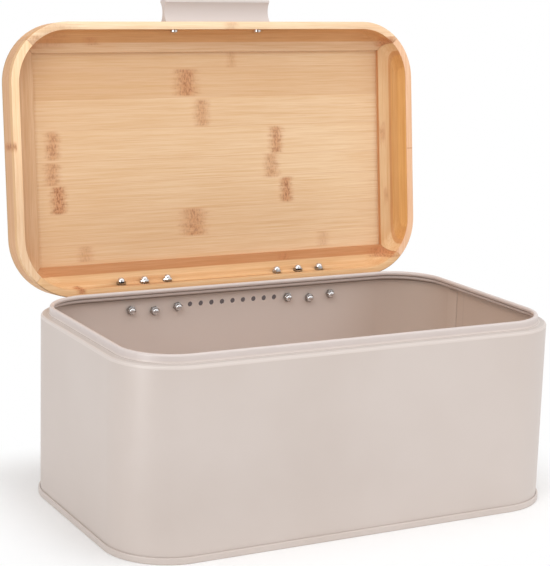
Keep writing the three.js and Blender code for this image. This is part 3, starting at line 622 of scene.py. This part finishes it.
def block(size, centre):
    """A new bmesh with one block in it."""
    bm = bmesh.new()
    stretch = Matrix.Diagonal((*size, 1))
    bmesh.ops.create_cube(bm, size=1, matrix=Matrix.Translation(centre) @ stretch)
    return bm


def arc(inset, z, radius, start, end, steps):
    """Points of a profile arc, in inset from the wall and height, angles in degrees."""
    angles = [math.radians(start + (end - start) * k / steps) for k in range(steps + 1)]
    return [(inset + radius * math.cos(a), z + radius * math.sin(a)) for a in angles]


def sweep_plan(bm, profile, closed):
    """Drags a profile wire once round the tub's plan: straight pulls and quarter turns."""
    verts = [bm.verts.new((0, inset - REAR, z)) for inset, z in profile]
    ends = verts[1:] + verts[:1] if closed else verts[1:]
    edges = [bm.edges.new(pair) for pair in zip(verts, ends)]
    half_x, half_y = WIDTH / 2 - CORNER, DEPTH / 2 - CORNER
    pulls = [(half_x, 0), (0, 2 * half_y), (-2 * half_x, 0), (0, -2 * half_y)]
    corners = [(half_x, -half_y), (half_x, half_y), (-half_x, half_y), (-half_x, -half_y)]
    for pull, corner in zip(pulls, corners):
        made = bmesh.ops.extrude_edge_only(bm, edges=edges)["geom"]
        bmesh.ops.translate(bm, verts=verts_of(made), vec=(*pull, 0))
        turned = bmesh.ops.spin(
            bm, geom=verts_of(made) + edges_of(made), cent=(*corner, 0), axis=(0, 0, 1),
            angle=QUARTER, steps=CORNER_SEGMENTS, use_merge=False, use_duplicate=False)
        edges = edges_of(turned["geom_last"])
    made = bmesh.ops.extrude_edge_only(bm, edges=edges)["geom"]
    bmesh.ops.translate(bm, verts=verts_of(made), vec=(half_x, 0, 0))
    bmesh.ops.remove_doubles(bm, verts=bm.verts, dist=MERGE)


def spin_round(bm, profile, steps=24):
    """Spins a half profile of radius and height a whole turn round Z."""
    verts = [bm.verts.new((radius, 0, z)) for radius, z in profile]
    edges = [bm.edges.new(pair) for pair in zip(verts, verts[1:])]
    bmesh.ops.spin(
        bm, geom=verts + edges, cent=(0, 0, 0), axis=(0, 0, 1), angle=2 * math.pi, steps=steps,
        use_merge=True, use_duplicate=False)
    bmesh.ops.remove_doubles(bm, verts=bm.verts, dist=MERGE)


def pull_out(bm, outline, by):
    """Pulls an outline of points out into a closed bar."""
    face = bm.faces.new([bm.verts.new(point) for point in outline])
    made = bmesh.ops.extrude_face_region(bm, geom=[face])["geom"]
    bmesh.ops.translate(bm, verts=verts_of(made), vec=by)
    face_out(bm)


def across_wall(x, y, z, tilt=QUARTER, turned=0.0):
    """A place whose +Z runs through the rear wall: forwards, or to the rear for a tilt of -90."""
    spot = Matrix.Translation((x, y, z))
    return spot @ Matrix.Rotation(tilt, 4, "X") @ Matrix.Rotation(turned, 4, "Z")


def add_rod(bm, radius, start_y, end_y, x, z, segments=24):
    """A closed rod along Y."""
    bmesh.ops.create_cone(
        bm, cap_ends=True, cap_tris=False, segments=segments, radius1=radius, radius2=radius,
        depth=end_y - start_y, matrix=across_wall(x, (start_y + end_y) / 2, z))


# %% [markdown]
# ## The tub's wall
# The wall is one strip of sheet, bent round and lapped inside the right wall. Its top steps
# in over a soft shoulder and rolls inwards into a bead that stiffens the mouth. In profile
# that is one thin closed line, so it is drawn once and dragged round the plan.

# %% Tub wall
bead_inset, bead_z = LIP_INSET + BEAD, SHOULDER + LIP_RISE - BEAD
fillet_inset, fillet_z = LIP_INSET - LIP_FILLET, SHOULDER + LIP_FILLET
shoulder_z = SHOULDER - SHOULDER_ROUND
curl = math.degrees(math.acos(SHEET / BEAD - 1))
WALL_FOOT = 1.6
ARC_STEPS, SHOULDER_STEPS, FILLET_STEPS, BEAD_STEPS = 6, 8, 5, 22
wall_profile = [
    (0, WALL_FOOT),
    *arc(SHOULDER_ROUND, shoulder_z, SHOULDER_ROUND, 180, 90, SHOULDER_STEPS),
    *arc(fillet_inset, fillet_z, LIP_FILLET, 270, 360, FILLET_STEPS),
    *arc(bead_inset, bead_z, BEAD, 180, -curl, BEAD_STEPS),
    *arc(fillet_inset, fillet_z, LIP_FILLET + SHEET, 0, -90, ARC_STEPS),
    *arc(SHOULDER_ROUND, shoulder_z, SHOULDER_ROUND - SHEET, 90, 180, ARC_STEPS),
    (SHEET, WALL_FOOT)]

wall_bm = bmesh.new()
sweep_plan(wall_bm, wall_profile, closed=True)
face_out(wall_bm)
wall = finish_piece("tub_wall", wall_bm, TUB_PLACE, "box", ["body_wall"], "painted_steel", coat)

# %% [markdown]
# ## Holes in the rear wall
# Nine small vents sit in a row between the hinges, and three screws pass through the wall at
# each hinge, the middle one a little lower. Round cutters along the wall's thickness take
# them all out in one Boolean.

# %% Vents and screw holes
VENT_COUNT, VENT_PITCH, VENT_RADIUS, VENT_Z = 9, 11.2, 2.5, SHOULDER - 11.7
HINGE_X, SCREW_PITCH = 82.3, 23.6
BODY_SCREW_Z, MIDDLE_DROP, LID_SCREW_Z = SHOULDER - 12.6, 2.2, RIM_Z + 12.8
SCREW_RADIUS, SCREW_CLEARANCE, OVERRUN = 1.75, 0.3, 2.0


def screw_places(carrier):
    """(hinge, number, x, z) of each screw on the body or the lid."""
    for hinge_name, side in (("left", -1), ("right", 1)):
        for number in (1, 2, 3):
            x = side * HINGE_X + (number - 2) * SCREW_PITCH
            body_z = BODY_SCREW_Z - (MIDDLE_DROP if number == 2 else 0)
            yield hinge_name, number, x, body_z if carrier == "body" else LID_SCREW_Z


vents = [((count - (VENT_COUNT - 1) / 2) * VENT_PITCH, VENT_Z) for count in range(VENT_COUNT)]
body_screws = [(x, z) for _, _, x, z in screw_places("body")]
hole_bm = bmesh.new()
for radius, places in ((VENT_RADIUS, vents), (SCREW_RADIUS + SCREW_CLEARANCE, body_screws)):
    for x, z in places:
        add_rod(hole_bm, radius, REAR - OVERRUN, REAR + OVERRUN, x, z)
cut_with(wall, hole_bm, TUB_PLACE)
print("holes cut", len(vents) + len(body_screws))

# %% [markdown]
# ## The lap and the base
# The sheet's own end overlaps inside the right wall as a narrow upright strip. Below, the
# floor pan's edge is rolled round the foot of the wall into a seam, which is the bead that
# the tub stands on. The pan is the same kind of drag, closed by two flat faces.

# %% Lap strip
LAP_WIDTH, LAP_THICKNESS, LAP_Y, LAP_TOP, LAP_FOOT = 15.5, 0.5, 60.75, 160.0, 3.3
LAP_EASE = 0.6 * LAP_THICKNESS
lap_x = WIDTH / 2 - SHEET - LAP_THICKNESS / 2
lap_size = (LAP_THICKNESS, LAP_WIDTH, LAP_TOP - LAP_FOOT)
lap_bm = block(lap_size, (lap_x, LAP_Y, (LAP_TOP + LAP_FOOT) / 2))
inner_edges = [e for e in lap_bm.edges if all(v.co.x < lap_x for v in e.verts)]
round_off(lap_bm, inner_edges, LAP_EASE, 3)
finish_piece("tub_lap", lap_bm, TUB_PLACE, "box", [], "painted_steel", coat)

# %% Base pan with its rolled seam
SEAM_HEIGHT, SEAM_PROUD, SEAM_ROUND, FOLD_Z = 5.8, 1.8, 0.9, 1.3
FOOT_WIDTH, FOOT_SLOPE, FLOOR_Z, FLOOR_TOP = 3.6, 2.4, 2.0, 3.0
seam_inset = SEAM_ROUND - SEAM_PROUD
pan_profile = [
    (FOOT_WIDTH + FOOT_SLOPE, FLOOR_Z),
    (FOOT_WIDTH, 0),
    *arc(seam_inset, SEAM_ROUND, SEAM_ROUND, 270, 180, ARC_STEPS),
    *arc(seam_inset, SEAM_HEIGHT - SEAM_ROUND, SEAM_ROUND, 180, 90, ARC_STEPS),
    (-SEAT_GAP, SEAM_HEIGHT),
    (-SEAT_GAP, FOLD_Z),
    (SHEET + SEAT_GAP, FOLD_Z),
    (SHEET + SEAT_GAP, FLOOR_TOP)]
pan_bm = bmesh.new()
sweep_plan(pan_bm, pan_profile, closed=False)
fill_ends(pan_bm)
face_out(pan_bm)
finish_piece("tub_base", pan_bm, TUB_PLACE, "box", ["base_pan"], "painted_steel", coat)

# %% [markdown]
# ## The lid's frame
# A joiner would mill one frame: a deep pocket that drops over the tub's lip, with a cove cut
# at its root, a ledge below it, and a rebate outside for the panel. Every level of it is a
# rounded rectangle, so rings are stacked and bridged into one closed shell. Four copies of
# the shell are then sawn along the mitres, one for each rail.

# %% Rings that follow the plan
LEDGE_INSET, REBATE_INSET, SQUARE_CORNER = 27.3, 21.3, 0.6
POCKET_DEPTH, LEDGE_THICKNESS, POCKET_STRAIGHT = 20.0, 4.0, 8.5
COVE_REACH, REAR_COVE_REACH, COVE_STEPS = 6.5, 11.5, 9
LID_ROUND, RIM_EASE = 4.0, 0.8
RING_SEGMENTS, ROUND_STEPS = 16, 7


def ring(bm, inset, z, rear_inset=None, corner=None):
    """The edges of a level rounded rectangle: a quad whose corners are bevelled."""
    rear_inset = inset if rear_inset is None else rear_inset
    radius = CORNER - (inset + rear_inset) / 2 if corner is None else corner
    half_x, half_y = WIDTH / 2 - inset, (DEPTH - inset - rear_inset) / 2
    place = Matrix.Translation((0, (inset - rear_inset) / 2, z)) @ Matrix.Diagonal((half_x, half_y, 1, 1))
    quad = bmesh.ops.create_grid(bm, x_segments=1, y_segments=1, size=1, matrix=place)["verts"]
    before = {e for e in bm.edges if not set(e.verts) & set(quad)}
    round_off(bm, quad, radius, RING_SEGMENTS, "VERTICES")
    edges = [e for e in bm.edges if e not in before]
    faces = list({f for e in edges for f in e.link_faces if all(x in edges for x in f.edges)})
    bmesh.ops.delete(bm, geom=faces, context="FACES_ONLY")
    return edges


def frame_shell():
    """The whole frame as a closed shell, ring by ring from the rim round the outside."""
    top = RIM_Z + LID_HEIGHT
    floor, back_z = RIM_Z + POCKET_DEPTH, RIM_Z + POCKET_DEPTH + LEDGE_THICKNESS
    bm = bmesh.new()
    levels = [ring(bm, RIM_EASE, RIM_Z), ring(bm, 0, RIM_Z + RIM_EASE)]
    rounding = arc(LID_ROUND, top - LID_ROUND, LID_ROUND, 180, 90, ROUND_STEPS)
    levels += [ring(bm, inset, z) for inset, z in rounding]
    levels += [ring(bm, REBATE_INSET, z, corner=SQUARE_CORNER) for z in (top, back_z)]
    levels += [ring(bm, LEDGE_INSET, z, corner=SQUARE_CORNER) for z in (back_z, floor)]
    for step in range(COVE_STEPS, -1, -1):
        angle = QUARTER * step / COVE_STEPS
        share = 1 - math.cos(angle)
        z = RIM_Z + POCKET_STRAIGHT + (POCKET_DEPTH - POCKET_STRAIGHT) * math.sin(angle)
        levels.append(ring(bm, RIM_WIDTH + COVE_REACH * share, z, RIM_WIDTH + REAR_COVE_REACH * share))
    levels.append(ring(bm, RIM_WIDTH, RIM_Z))
    for lower, upper in zip(levels, levels[1:] + levels[:1]):
        bmesh.ops.bridge_loops(bm, edges=lower + upper)
    face_out(bm)
    return bm


def saw(bm, point, normal):
    """Cuts away what lies on the normal's side and closes the cut."""
    geom = bm.verts[:] + bm.edges[:] + bm.faces[:]
    bmesh.ops.bisect_plane(bm, geom=geom, plane_co=point, plane_no=normal, clear_outer=True)
    fill_ends(bm)


shell = frame_shell()
print("frame shell", len(shell.faces), "faces, open edges", sum(e.is_boundary for e in shell.edges))

# %% Saw the shell into four mitred rails
MITRE, RAIL_EASE = 0.15, 0.35
RAILS = {
    "front": ((-1, -1), (1, -1), Vector((0, -1, 0))),
    "rear": ((-1, 1), (1, 1), Vector((0, 1, 0))),
    "left": ((-1, -1), (-1, 1), Vector((-1, 0, 0))),
    "right": ((1, -1), (1, 1), Vector((1, 0, 0)))}
rails = {}
for side, (first, second, outward) in RAILS.items():
    rail_bm = shell.copy()
    for to_x, to_y in (first, second):
        middle = Vector((to_x * (WIDTH / 2 - CORNER), to_y * (DEPTH / 2 - CORNER), 0))
        across = Vector((-to_y, to_x, 0)).normalized()
        away = across if across.dot(outward) < 0 else -across
        saw(rail_bm, middle - away * MITRE, away)
    rails[side] = finish_piece(
        f"rail_{side}", rail_bm, LID_PLACE, "lid", [f"lid_rail_{side}"], "bamboo_frame",
        rail_wood[side], edge=RAIL_EASE)
shell.free()

# %% [markdown]
# ## Holes and flats for the fasteners
# A cap nut or a screw head can't seat on a curved cove, so a flat is milled back to the
# straight part of the pocket's wall round each hole.

# %% Screw holes with flats
NUT_WIDTH, HANDLE_SCREW_X, HANDLE_Z = 7.0, 44.0, RIM_Z + 13.0
HANDLE_SCREW_RADIUS, HANDLE_HEAD_RADIUS, FLAT_MARGIN, FLAT_SINK = 1.8, 3.5, 0.6, 0.02
HOLE_SEGMENTS = 32
nut_corner = NUT_WIDTH / math.sqrt(3)
flat_y, inner_y = REAR - RIM_WIDTH + FLAT_SINK, REAR - LEDGE_INSET - OVERRUN
lid_screws = [(x, z) for _, _, x, z in screw_places("lid")]
pull_screws = [(-HANDLE_SCREW_X, HANDLE_Z), (HANDLE_SCREW_X, HANDLE_Z)]

for side, facing, places, shank, flat in (
        ("rear", 1, lid_screws, SCREW_RADIUS, nut_corner),
        ("front", -1, pull_screws, HANDLE_SCREW_RADIUS, HANDLE_HEAD_RADIUS)):
    for radius, outer_y in ((shank + SCREW_CLEARANCE, REAR + OVERRUN), (flat + FLAT_MARGIN, flat_y)):
        low, high = sorted((facing * inner_y, facing * outer_y))
        cutter_bm = bmesh.new()
        for x, z in places:
            add_rod(cutter_bm, radius, low, high, x, z, HOLE_SEGMENTS)
        cut_with(rails[side], cutter_bm, LID_PLACE)

# %% [markdown]
# ## The panel
# The panel is a plain glued board, dropped into the rebate with a hair of play. Its glue
# lines are in its finish, and its edges are eased by the bevel that every sanded board has.

# %% Lid panel
PANEL_EASE = 0.3
panel_low, panel_high = RIM_Z + POCKET_DEPTH + LEDGE_THICKNESS + SEAT_GAP, RIM_Z + LID_HEIGHT
margin = 2 * (REBATE_INSET + SEAT_GAP)
panel_size = (WIDTH - margin, DEPTH - margin, panel_high - panel_low)
panel_bm = block(panel_size, (0, 0, (panel_low + panel_high) / 2))
finish_piece(
    "lid_board", panel_bm, LID_PLACE, "lid", ["lid_panel"], "bamboo_panel", panel_wood, edge=PANEL_EASE)

# %% [markdown]
# ## The handle
# The pull is a bar with a hollow on both faces for the fingers and a thin flange at its tip.
# Its outline is drawn once, closed into a face, and pulled out to its width.

# %% Handle
HANDLE_WIDTH, HANDLE_REACH, HANDLE_HALF, HANDLE_WAIST = 109.0, 20.5, 6.0, 4.6
HANDLE_TIP, TIP_STEP, TIP_ROUND, TIP_CUT, HOLLOW_STEPS, HANDLE_EASE = 2.7, 0.6, 0.7, 0.21, 14, 0.4


def hollow(share, start, end, dip):
    """Half thickness along the hollow: a parabola through both ends and the waist."""
    middle = dip - (start + end) / 2
    return (1 - share) ** 2 * start + 2 * share * (1 - share) * middle + share ** 2 * end


crease, tip = HANDLE_REACH - HANDLE_TIP, HANDLE_REACH + SEAT_GAP
upper = [
    (SEAT_GAP + crease * k / HOLLOW_STEPS,
     hollow(k / HOLLOW_STEPS, HANDLE_HALF, HANDLE_HALF - TIP_STEP, HANDLE_WAIST))
    for k in range(HOLLOW_STEPS + 1)]
upper += [(SEAT_GAP + crease, HANDLE_HALF), (tip - TIP_ROUND, HANDLE_HALF)]
upper += [(tip - TIP_CUT, HANDLE_HALF - TIP_CUT), (tip, HANDLE_HALF - TIP_ROUND)]
outline = upper + [(out, -half) for out, half in reversed(upper)]
section = [(-HANDLE_WIDTH / 2, -REAR - out, HANDLE_Z + half) for out, half in outline]
handle_bm = bmesh.new()
pull_out(handle_bm, section, (HANDLE_WIDTH, 0, 0))
finish_piece(
    "handle", handle_bm, LID_PLACE, "lid", ["lid_handle"], "painted_steel", pull_coat, edge=HANDLE_EASE)

# %% [markdown]
# ## Cap nuts
# Each hinge screw ends in a domed cap nut, which is what shows inside the box. A nut is a
# six-sided prism whose corners are turned off, with a full, slightly squared dome on it. No
# two nuts stop at the same turn, because a spanner leaves each where it is tight.

# %% Cap nuts
NUT_HEX, NUT_HEIGHT, NUT_CHAMFER, DOME_RADIUS = 3.3, 6.6, 0.35, 3.4
HEX_SPREAD, DOME_SINK = 0.4, 0.4
DOME_POWER, DOME_STEPS = 2.6, 12
NUT_TURNS = (0.2, 0.75, -0.3, 0.5, 0.05, -0.6)


def dome_profile():
    """A quarter of a superellipse from the dome's edge to its tip, and a foot in the prism."""
    foot = NUT_HEX - NUT_CHAMFER
    points = [(DOME_RADIUS - DOME_SINK, foot - DOME_SINK)]
    for step in range(DOME_STEPS):
        angle = QUARTER * step / DOME_STEPS
        out, rise = (share ** (2 / DOME_POWER) for share in (math.cos(angle), math.sin(angle)))
        points.append((DOME_RADIUS * out, foot + (NUT_HEIGHT - foot) * rise))
    return points + [(0, NUT_HEIGHT)]


def cap_nut():
    """A nut that sits on the origin with its dome towards +Z. Its flats have a finish of their own, a
    darker copy of the plate as painted shade.
    """
    bm = bmesh.new()
    corner = nut_corner + HEX_SPREAD
    bmesh.ops.create_cone(
        bm, cap_ends=True, cap_tris=False, segments=6, radius1=corner, radius2=corner,
        depth=NUT_HEX, matrix=Matrix.Translation((0, 0, NUT_HEX / 2)))
    level_edges = [e for e in bm.edges if abs(e.verts[0].co.z - e.verts[1].co.z) < MERGE]
    round_off(bm, level_edges, NUT_CHAMFER, 2)
    for face in bm.faces:
        face.material_index = 1
    spin_round(bm, dome_profile())
    fill_ends(bm)
    face_out(bm)
    return bm


CARRIERS = (("body", "box", TUB_PLACE, SHEET), ("lid", "lid", LID_PLACE, RIM_WIDTH))
for carrier, body, place, thickness in CARRIERS:
    for (hinge_name, number, x, z), turned in zip(screw_places(carrier), NUT_TURNS):
        seat = across_wall(x, REAR - thickness - SEAT_GAP, z, turned=turned)
        name = f"cap_nut_{hinge_name}_{carrier}_{number}"
        nodes = [f"hinge_{hinge_name}_{carrier}_nut_{number}"]
        # the nut's flats take the darker copy of the plate, which is painted shade
        finish_piece(name, cap_nut(), place @ seat, body, nodes, "plated_steel", plate, shaded_flats)

# %% [markdown]
# ## Screws
# The screws are pan heads with a cross recess. A half profile is spun once round its axis,
# and a cutter shaped like a plus sign takes the recess out.

# %% Screws
HEAD_RADIUS, HEAD_HEIGHT, RECESS_WIDTH, RECESS_REACH, RECESS_DEPTH = 3.9, 2.6, 1.0, 4.2, 1.4
LEAF_THICKNESS, NUT_GRIP, HANDLE_BORE, SHANK_CHAMFER, HEAD_STEPS = 1.4, 4.2, 4.8, 0.5, 8


def pan_screw(head_radius, shank, length):
    """A screw whose head stands on the origin towards +Z."""
    half, head = HEAD_HEIGHT / 2, arc(0, 0, 1, 0, 90, HEAD_STEPS)[:-1]
    profile = [(0, -length), (shank - SHANK_CHAMFER, -length), (shank, SHANK_CHAMFER - length)]
    profile += [(shank, 0), (head_radius, 0)]
    profile += [(head_radius * out, half * (1 + rise)) for out, rise in head]
    profile.append((0, HEAD_HEIGHT))
    bm = bmesh.new()
    spin_round(bm, profile)
    face_out(bm)
    return bm


def cross_recess():
    """The cutter for a cross recess: one outline in the form of a plus sign, pulled up."""
    arm, half = RECESS_REACH / 2, RECESS_WIDTH / 2
    quarter = [(arm, -half), (arm, half), (half, half)]
    outline = []
    for _ in range(4):
        outline += quarter
        quarter = [(-y, x) for x, y in quarter]
    bm = bmesh.new()
    foot = [(x, y, HEAD_HEIGHT - RECESS_DEPTH) for x, y in outline]
    pull_out(bm, foot, (0, 0, RECESS_DEPTH + OVERRUN))
    return bm


def add_screw(name, node, body, place, head_radius, shank, length):
    screw_bm = pan_screw(head_radius, shank, length)
    screw = finish_piece(name, screw_bm, place, body, [node], "plated_steel", plate)
    cut_with(screw, cross_recess(), place)


for carrier, body, place, thickness in CARRIERS:
    length = LEAF_THICKNESS + thickness + NUT_GRIP + 3 * SEAT_GAP
    for (hinge_name, number, x, z), turned in zip(screw_places(carrier), NUT_TURNS):
        seat = across_wall(x, REAR + LEAF_THICKNESS + 2 * SEAT_GAP, z, -QUARTER, turned)
        add_screw(
            f"screw_{hinge_name}_{carrier}_{number}", f"hinge_{hinge_name}_{carrier}_screw_{number}",
            body, place @ seat, HEAD_RADIUS, SCREW_RADIUS, length)

for side, x in (("left", -HANDLE_SCREW_X), ("right", HANDLE_SCREW_X)):
    seat = across_wall(x, RIM_WIDTH + SEAT_GAP - REAR, HANDLE_Z, -QUARTER)
    add_screw(
        f"pull_screw_{side}", f"handle_screw_{side}", "lid", LID_PLACE @ seat,
        HANDLE_HEAD_RADIUS, HANDLE_SCREW_RADIUS, RIM_WIDTH + HANDLE_BORE + SEAT_GAP)

# %% [markdown]
# ## Hinges
# The leaves and pins are already true in the frame, only their faces are loose triangles.
# A merged copy takes their place: its flat faces are dissolved back into whole ones, its
# pressed edges are eased with a small bevel, and it keeps the solid's exact place.

# %% Hinge leaves and pins
FLAT_ANGLE, LEAF_EASE = math.radians(0.5), 0.15
IN_METRES, IN_MILLIMETRES = Matrix.Scale(MM, 4), Matrix.Scale(1 / MM, 4)
for hinge_name in ("left", "right"):
    for part, body in (("body_leaf", "box"), ("lid_leaf", "lid"), ("pin", "box")):
        node = f"hinge_{hinge_name}_{part}"
        leaf_bm = bmesh.new()
        leaf_bm.from_mesh(frame["nodes"][node].data)
        bmesh.ops.remove_doubles(leaf_bm, verts=leaf_bm.verts, dist=MERGE * 0.01)
        bmesh.ops.dissolve_limit(
            leaf_bm, angle_limit=FLAT_ANGLE, verts=leaf_bm.verts, edges=leaf_bm.edges)
        bmesh.ops.transform(leaf_bm, matrix=IN_MILLIMETRES, verts=leaf_bm.verts)
        finish_piece(
            f"{part}_{hinge_name}", leaf_bm, IN_METRES, body, [node], "plated_steel", hinge_plate,
            edge=LEAF_EASE)

# %% [markdown]
# ## Studio
# The photograph is a cut-out on white, lit by large soft lights. A pale floor keeps the
# object's own shadow. A little way off it turns plain white for the camera and for
# reflections, so that nothing shows where the floor ends and the backdrop begins.


# %% Floor
WHITE = (1.0, 1.0, 1.0, 1.0)
FLOOR_LIGHT, FLOOR_DARK, FLOOR_SCALE, FLOOR_SIZE = rgb(252, 252, 252), rgb(250, 250, 250), 40.0, 12.0
SHADOW_REACH = 100.0


def staged(name, size, material, place=Matrix()):
    """A flat card that belongs to the studio."""
    bm = bmesh.new()
    stretch = Matrix.Diagonal((*size, 1, 1))
    bmesh.ops.create_grid(bm, x_segments=1, y_segments=1, size=0.5, matrix=stretch)
    card = as_object(name, bm, place)
    card.data.materials.append(material)
    return card


def show_instead(finish, factor, colour=None):
    """Where the factor is 1, the surface shows a plain colour, or nothing at all."""
    if colour:
        other = finish.node("ShaderNodeEmission", {}, {"Color": colour})
    else:
        other = finish.node("ShaderNodeBsdfTransparent")
    surface = finish.end.inputs["Surface"]
    inputs = {0: factor, 1: surface.links[0].from_socket, 2: other.outputs[0]}
    finish.feed(surface, finish.node("ShaderNodeMixShader", {}, inputs).outputs[0])


def light_path(network, *kinds):
    """1 for a ray of any of these kinds."""
    path = network.node("ShaderNodeLightPath")
    found = Value(network, path.outputs[kinds[0]])
    for kind in kinds[1:]:
        found = found.over(Value(network, path.outputs[kind]))
    return found


floor_finish = Finish("studio_floor", Roughness=0.9, Specular_IOR_Level=0.1)
floor_x, floor_y, _ = floor_finish.split(floor_finish.mapped(location=(0, -TUB_Y, 0)))
beyond_x = (abs(floor_x) - WIDTH / 2).over(0.0)
beyond_y = (abs(floor_y) - DEPTH / 2).over(0.0)
far_out = ((beyond_x * beyond_x + beyond_y * beyond_y) ** 0.5).ease(0.0, SHADOW_REACH)
floor_grain = floor_finish.noise(floor_finish.mapped(), FLOOR_SCALE)
floor_finish.paint(floor_finish.mix(floor_grain, FLOOR_DARK, FLOOR_LIGHT))
direct = light_path(floor_finish, "Is Camera Ray", "Is Glossy Ray")
show_instead(floor_finish, far_out * direct, WHITE)
staged("floor", (FLOOR_SIZE, FLOOR_SIZE), floor_finish.material)

# %% [markdown]
# ## Cards
# The vents show a dim room behind the box, which is a small card that only the camera sees,
# and only from its front. The two dark cards are seen by reflections alone: one stands behind
# the camera, and the other lies on the floor before the left front corner. They give the
# bright metal its contrast and the coat its darker band beside the corner.

# %% A dim room behind the vents, and two dark cards for reflections
DUSK, ROOM_SIZE, CARD_BEHIND = rgb(96, 86, 85), (100.0, 12.0), 1.8
room_finish = Finish("dark_room", Roughness=1.0)
facing_away = Value(room_finish, room_finish.node("ShaderNodeNewGeometry").outputs["Backfacing"])
camera_ray = light_path(room_finish, "Is Camera Ray")
show_instead(room_finish, camera_ray, DUSK)
show_instead(room_finish, (facing_away + 1 - camera_ray).clamped())
room_place = TUB_PLACE @ across_wall(0, REAR + CARD_BEHIND, VENT_Z)
staged("dark_room", ROOM_SIZE, room_finish.material, room_place)

DARK, FLAG_DISTANCE, FLAG_SIZE = rgb(30, 30, 30), 1.9, 1.3
flag_finish = Finish("dark_flag", Roughness=1.0, Base_Color=DARK, Specular_IOR_Level=0.0)
show_instead(flag_finish, 1 - light_path(flag_finish, "Is Glossy Ray"))
flag_place = Matrix.Translation(VIEW_TARGET + back * FLAG_DISTANCE) @ view_turn
staged("dark_flag", (FLAG_SIZE, FLAG_SIZE), flag_finish.material, flag_place)

GAP_AZIMUTH, GAP_WIDTH, GAP_LENGTH, GAP_START, GAP_LIFT = math.radians(-12), 0.7, 1.8, 0.05, 0.002
gap_corner = Matrix.Translation(((CORNER - WIDTH / 2) * MM, TUB_Y - REAR * MM, GAP_LIFT))
gap_away = Matrix.Translation((0, -GAP_START - GAP_LENGTH / 2, 0))
gap_place = gap_corner @ Matrix.Rotation(GAP_AZIMUTH, 4, "Z") @ gap_away
staged("dark_gap", (GAP_WIDTH, GAP_LENGTH), flag_finish.material, gap_place)

# %% [markdown]
# ## Light
# The backdrop lights the box dimly and evenly, and is white only where the camera or a
# reflection sees it. Three broad lamps add soft light from both sides and from above. A tall
# narrow lamp shows only in reflections, as the pale band on the left front corner.

# %% World and lamps
AMBIENT = 0.66
AIM = Vector((0, 0, 0.15))
LAMPS = {
    "key": ((-1.6, -1.5, 2.0), (1.6, 1.6), 21.0),
    "strip": ((-1.9, -0.75, 0.35), (0.3, 1.0), 24.0),
    "fill": ((1.9, -1.5, 1.2), (1.4, 1.4), 6.0),
    "top": ((0.45, -0.45, 2.4), (1.5, 1.5), 13.5)}

world = bpy.data.worlds.new("studio")
bpy.context.scene.world = world
world.use_nodes = True
sky = Network(world.node_tree)
dim, bright = (
    sky.node("ShaderNodeBackground", {}, {"Color": WHITE, "Strength": strength})
    for strength in (AMBIENT, 1.0))
seen = light_path(sky, "Is Camera Ray", "Is Glossy Ray")
choose = sky.node("ShaderNodeMixShader", {}, {0: seen, 1: dim.outputs[0], 2: bright.outputs[0]})
sky.node("ShaderNodeOutputWorld", {}, {"Surface": choose.outputs[0]})

for name, (location, (width, height), power) in LAMPS.items():
    lamp = bpy.data.lights.new(name, "AREA")
    lamp.shape, lamp.size, lamp.size_y, lamp.energy = "RECTANGLE", width, height, power
    holder = bpy.data.objects.new(name, lamp)
    holder.location = location
    holder.visible_diffuse = name != "strip"
    holder.rotation_euler = (AIM - Vector(location)).to_track_quat("-Z", "Y").to_euler()
    bpy.context.scene.collection.objects.link(holder)

bpy.context.scene.view_settings.view_transform = "Standard"
print("lamps", sorted(LAMPS))
